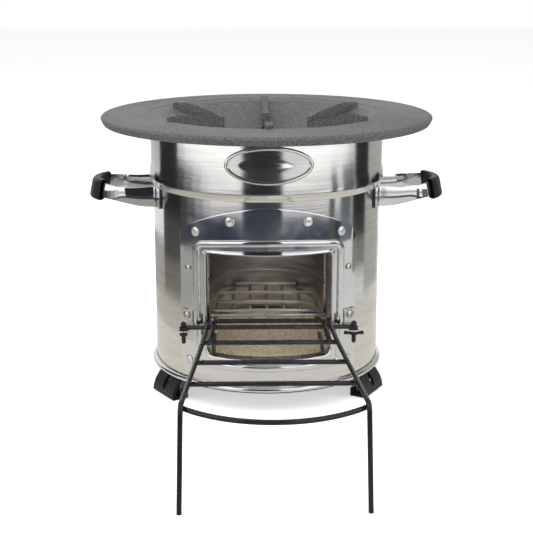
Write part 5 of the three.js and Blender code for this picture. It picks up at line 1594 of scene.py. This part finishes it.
class COOKSTOVE_OT_stage(bpy.types.Operator):
    """Sets the pale floor, the surroundings, the glowing screens of painted reflections, the lamps and the
    camera
    """

    bl_idname = "cookstove.stage"
    bl_label = "Stage"

    def execute(self, context):
        setting = context.scene.cookstove_stage
        context.scene.view_settings.view_transform = "Standard"
        self.set_world(context, setting)
        self.set_floor()
        self.add_painted_reflections()
        self.add_lamp("Key Lamp", "AREA", KEY_PLACE, LAMP_GOAL, setting.key_power, size=KEY_WIDTH)
        self.add_lamp("Left Lamp", "AREA", LEFT_PLACE, LAMP_GOAL, setting.side_power, size=SIDE_WIDTH)
        self.add_lamp("Right Lamp", "AREA", RIGHT_PLACE, LAMP_GOAL, setting.side_power, size=SIDE_WIDTH)
        self.add_lamp("Opening Lamp", "SPOT", OPENING_PLACE, OPENING_GOAL, setting.front_power,
                      spot_size=OPENING_CONE, spot_blend=OPENING_BLEND, shadow_soft_size=OPENING_WIDTH)
        camera = bpy.data.objects.new("Camera", bpy.data.cameras.new("Camera"))
        camera.data.lens = setting.camera_lens
        camera.data.sensor_width = SENSOR_WIDTH
        camera.location = setting.camera_place
        camera.rotation_euler = (math.pi / 2 - setting.camera_tilt, 0, -setting.camera_turn)
        context.scene.collection.objects.link(camera)
        context.scene.camera = camera
        return {"FINISHED"}

    def set_world(self, context, setting):
        """The surroundings are white to the eye and in reflections, and a little dimmer as a light."""
        world = bpy.data.worlds.new("Surroundings")
        context.scene.world = world
        world.use_nodes = True
        background = world.node_tree.nodes["Background"]
        level = self.seen_rays(world.node_tree, setting.world_level, 1.0)
        world.node_tree.links.new(level, background.inputs["Strength"])
        background.inputs["Color"].default_value = (1, 1, 1, 1)

    def seen_rays(self, tree, unseen, seen, others=("Is Glossy Ray", "Is Transmission Ray")):
        """One value for what the eye sees, straight or in a reflection, and another for lighting."""
        light = tree.nodes.new("ShaderNodeLightPath")
        rays = light.outputs["Is Camera Ray"]
        for ray in others:
            either = tree.nodes.new("ShaderNodeMath")
            either.operation = "MAXIMUM"
            tree.links.new(rays, either.inputs[0])
            tree.links.new(light.outputs[ray], either.inputs[1])
            rays = either.outputs["Value"]
        level = tree.nodes.new("ShaderNodeMapRange")
        level.inputs["To Min"].default_value = unseen
        level.inputs["To Max"].default_value = seen
        tree.links.new(rays, level.inputs["Value"])
        return level.outputs["Result"]

    def add_stage_piece(self, name, bm, material_name, shade, glow):
        """Adds a piece of the stage in a dull material that gives off a colour of its own."""
        material = bpy.data.materials.new(material_name)
        material.use_nodes = True
        shader = material.node_tree.nodes["Principled BSDF"]
        shader.inputs["Base Color"].default_value = (shade, shade, shade, 1)
        shader.inputs["Specular IOR Level"].default_value = 0
        shader.inputs["Emission Color"].default_value = (*glow, 1)
        shader.inputs["Emission Strength"].default_value = 1
        piece = mesh_object(name, bm, material)
        return piece, shader

    def set_floor(self):
        """The floor looks a little lighter to the camera than the lamps make it."""
        bm = bmesh.new()
        bmesh.ops.create_grid(bm, x_segments=1, y_segments=1, size=FLOOR_HALF)
        floor, shader = self.add_stage_piece("floor", bm, "White Paper", FLOOR_SHADE, (1, 1, 1))
        shader.inputs["Roughness"].default_value = 1
        tree = floor.active_material.node_tree
        tree.links.new(self.seen_rays(tree, 0, FLOOR_LIFT, ()), shader.inputs["Emission Strength"])

    def add_painted_reflections(self):
        """Painted reflections: dark and bright glowing screens, which only the reflections in the steel show.
        """
        for i, (start, end, near, far, low, high, colour) in enumerate(PAINTED_REFLECTIONS, 1):
            bm = bmesh.new()
            verts = [bm.verts.new((0, -near, low)), bm.verts.new((0, -far, high))]
            line = [bm.edges.new(verts)]
            turn_round(bm, start)
            bmesh.ops.spin(bm, geom=verts + line, cent=(0, 0, 0), axis=UP, angle=math.radians(end - start),
                           steps=max(2, round((end - start) / SCREEN_STEP)), use_duplicate=False)
            bmesh.ops.translate(bm, verts=bm.verts, vec=AXIS)
            # Each screen glows its colour as a painted reflection, unseen by the camera, by diffuse light and
            # by shadow
            screen, _ = self.add_stage_piece(f"painted_reflection_{i}", bm, f"Screen Cloth {i}", 0, colour)
            screen.visible_camera = False
            screen.visible_diffuse = False
            screen.visible_transmission = False
            screen.visible_shadow = False

    def add_lamp(self, name, kind, place, goal, power, **sizes):
        """A lamp turned towards its goal, which no reflection shows."""
        lamp = bpy.data.lights.new(name, kind)
        lamp.energy = power
        for size, value in sizes.items():
            setattr(lamp, size, value)
        holder = bpy.data.objects.new(name, lamp)
        holder.location = place
        aim = Vector(goal) - Vector(place)
        holder.rotation_euler = aim.to_track_quat("-Z", "Y").to_euler()
        holder.visible_glossy = False
        bpy.context.scene.collection.objects.link(holder)


PIECE_OPERATORS = (COOKSTOVE_OT_finishes, COOKSTOVE_OT_iron_top, COOKSTOVE_OT_collar, COOKSTOVE_OT_body,
                   COOKSTOVE_OT_door_frame, COOKSTOVE_OT_fasteners, COOKSTOVE_OT_clips, COOKSTOVE_OT_bolts,
                   COOKSTOVE_OT_stand, COOKSTOVE_OT_inside, COOKSTOVE_OT_grate, COOKSTOVE_OT_feet,
                   COOKSTOVE_OT_handles, COOKSTOVE_OT_stage)


class COOKSTOVE_PT_panel(bpy.types.Panel):
    """Lists the stove's pieces and their sizes"""

    bl_idname = "COOKSTOVE_PT_panel"
    bl_label = "Cookstove"
    bl_space_type = "VIEW_3D"
    bl_region_type = "UI"
    bl_category = "Cookstove"

    def draw(self, context):
        scene = context.scene
        for group in (scene.cookstove_sizes, scene.cookstove_colours, scene.cookstove_stage):
            box = self.layout.box()
            for name in group.bl_rna.properties.keys():
                if name not in ("rna_type", "name"):
                    box.prop(group, name)
        for operator in PIECE_OPERATORS:
            self.layout.operator(operator.bl_idname)


CLASSES = (CookstoveSizes, CookstoveColours, CookstoveStage, *PIECE_OPERATORS, COOKSTOVE_PT_panel)


def register():
    for cls in CLASSES:
        bpy.utils.register_class(cls)
    bpy.types.Scene.cookstove_sizes = PointerProperty(type=CookstoveSizes)
    bpy.types.Scene.cookstove_colours = PointerProperty(type=CookstoveColours)
    bpy.types.Scene.cookstove_stage = PointerProperty(type=CookstoveStage)


def unregister():
    del bpy.types.Scene.cookstove_stage
    del bpy.types.Scene.cookstove_colours
    del bpy.types.Scene.cookstove_sizes
    for cls in reversed(CLASSES):
        bpy.utils.unregister_class(cls)


def main():
    register()
    for operator in PIECE_OPERATORS:
        _, name = operator.bl_idname.split(".")
        getattr(bpy.ops.cookstove, name)()


if __name__ == "__main__":
    main()
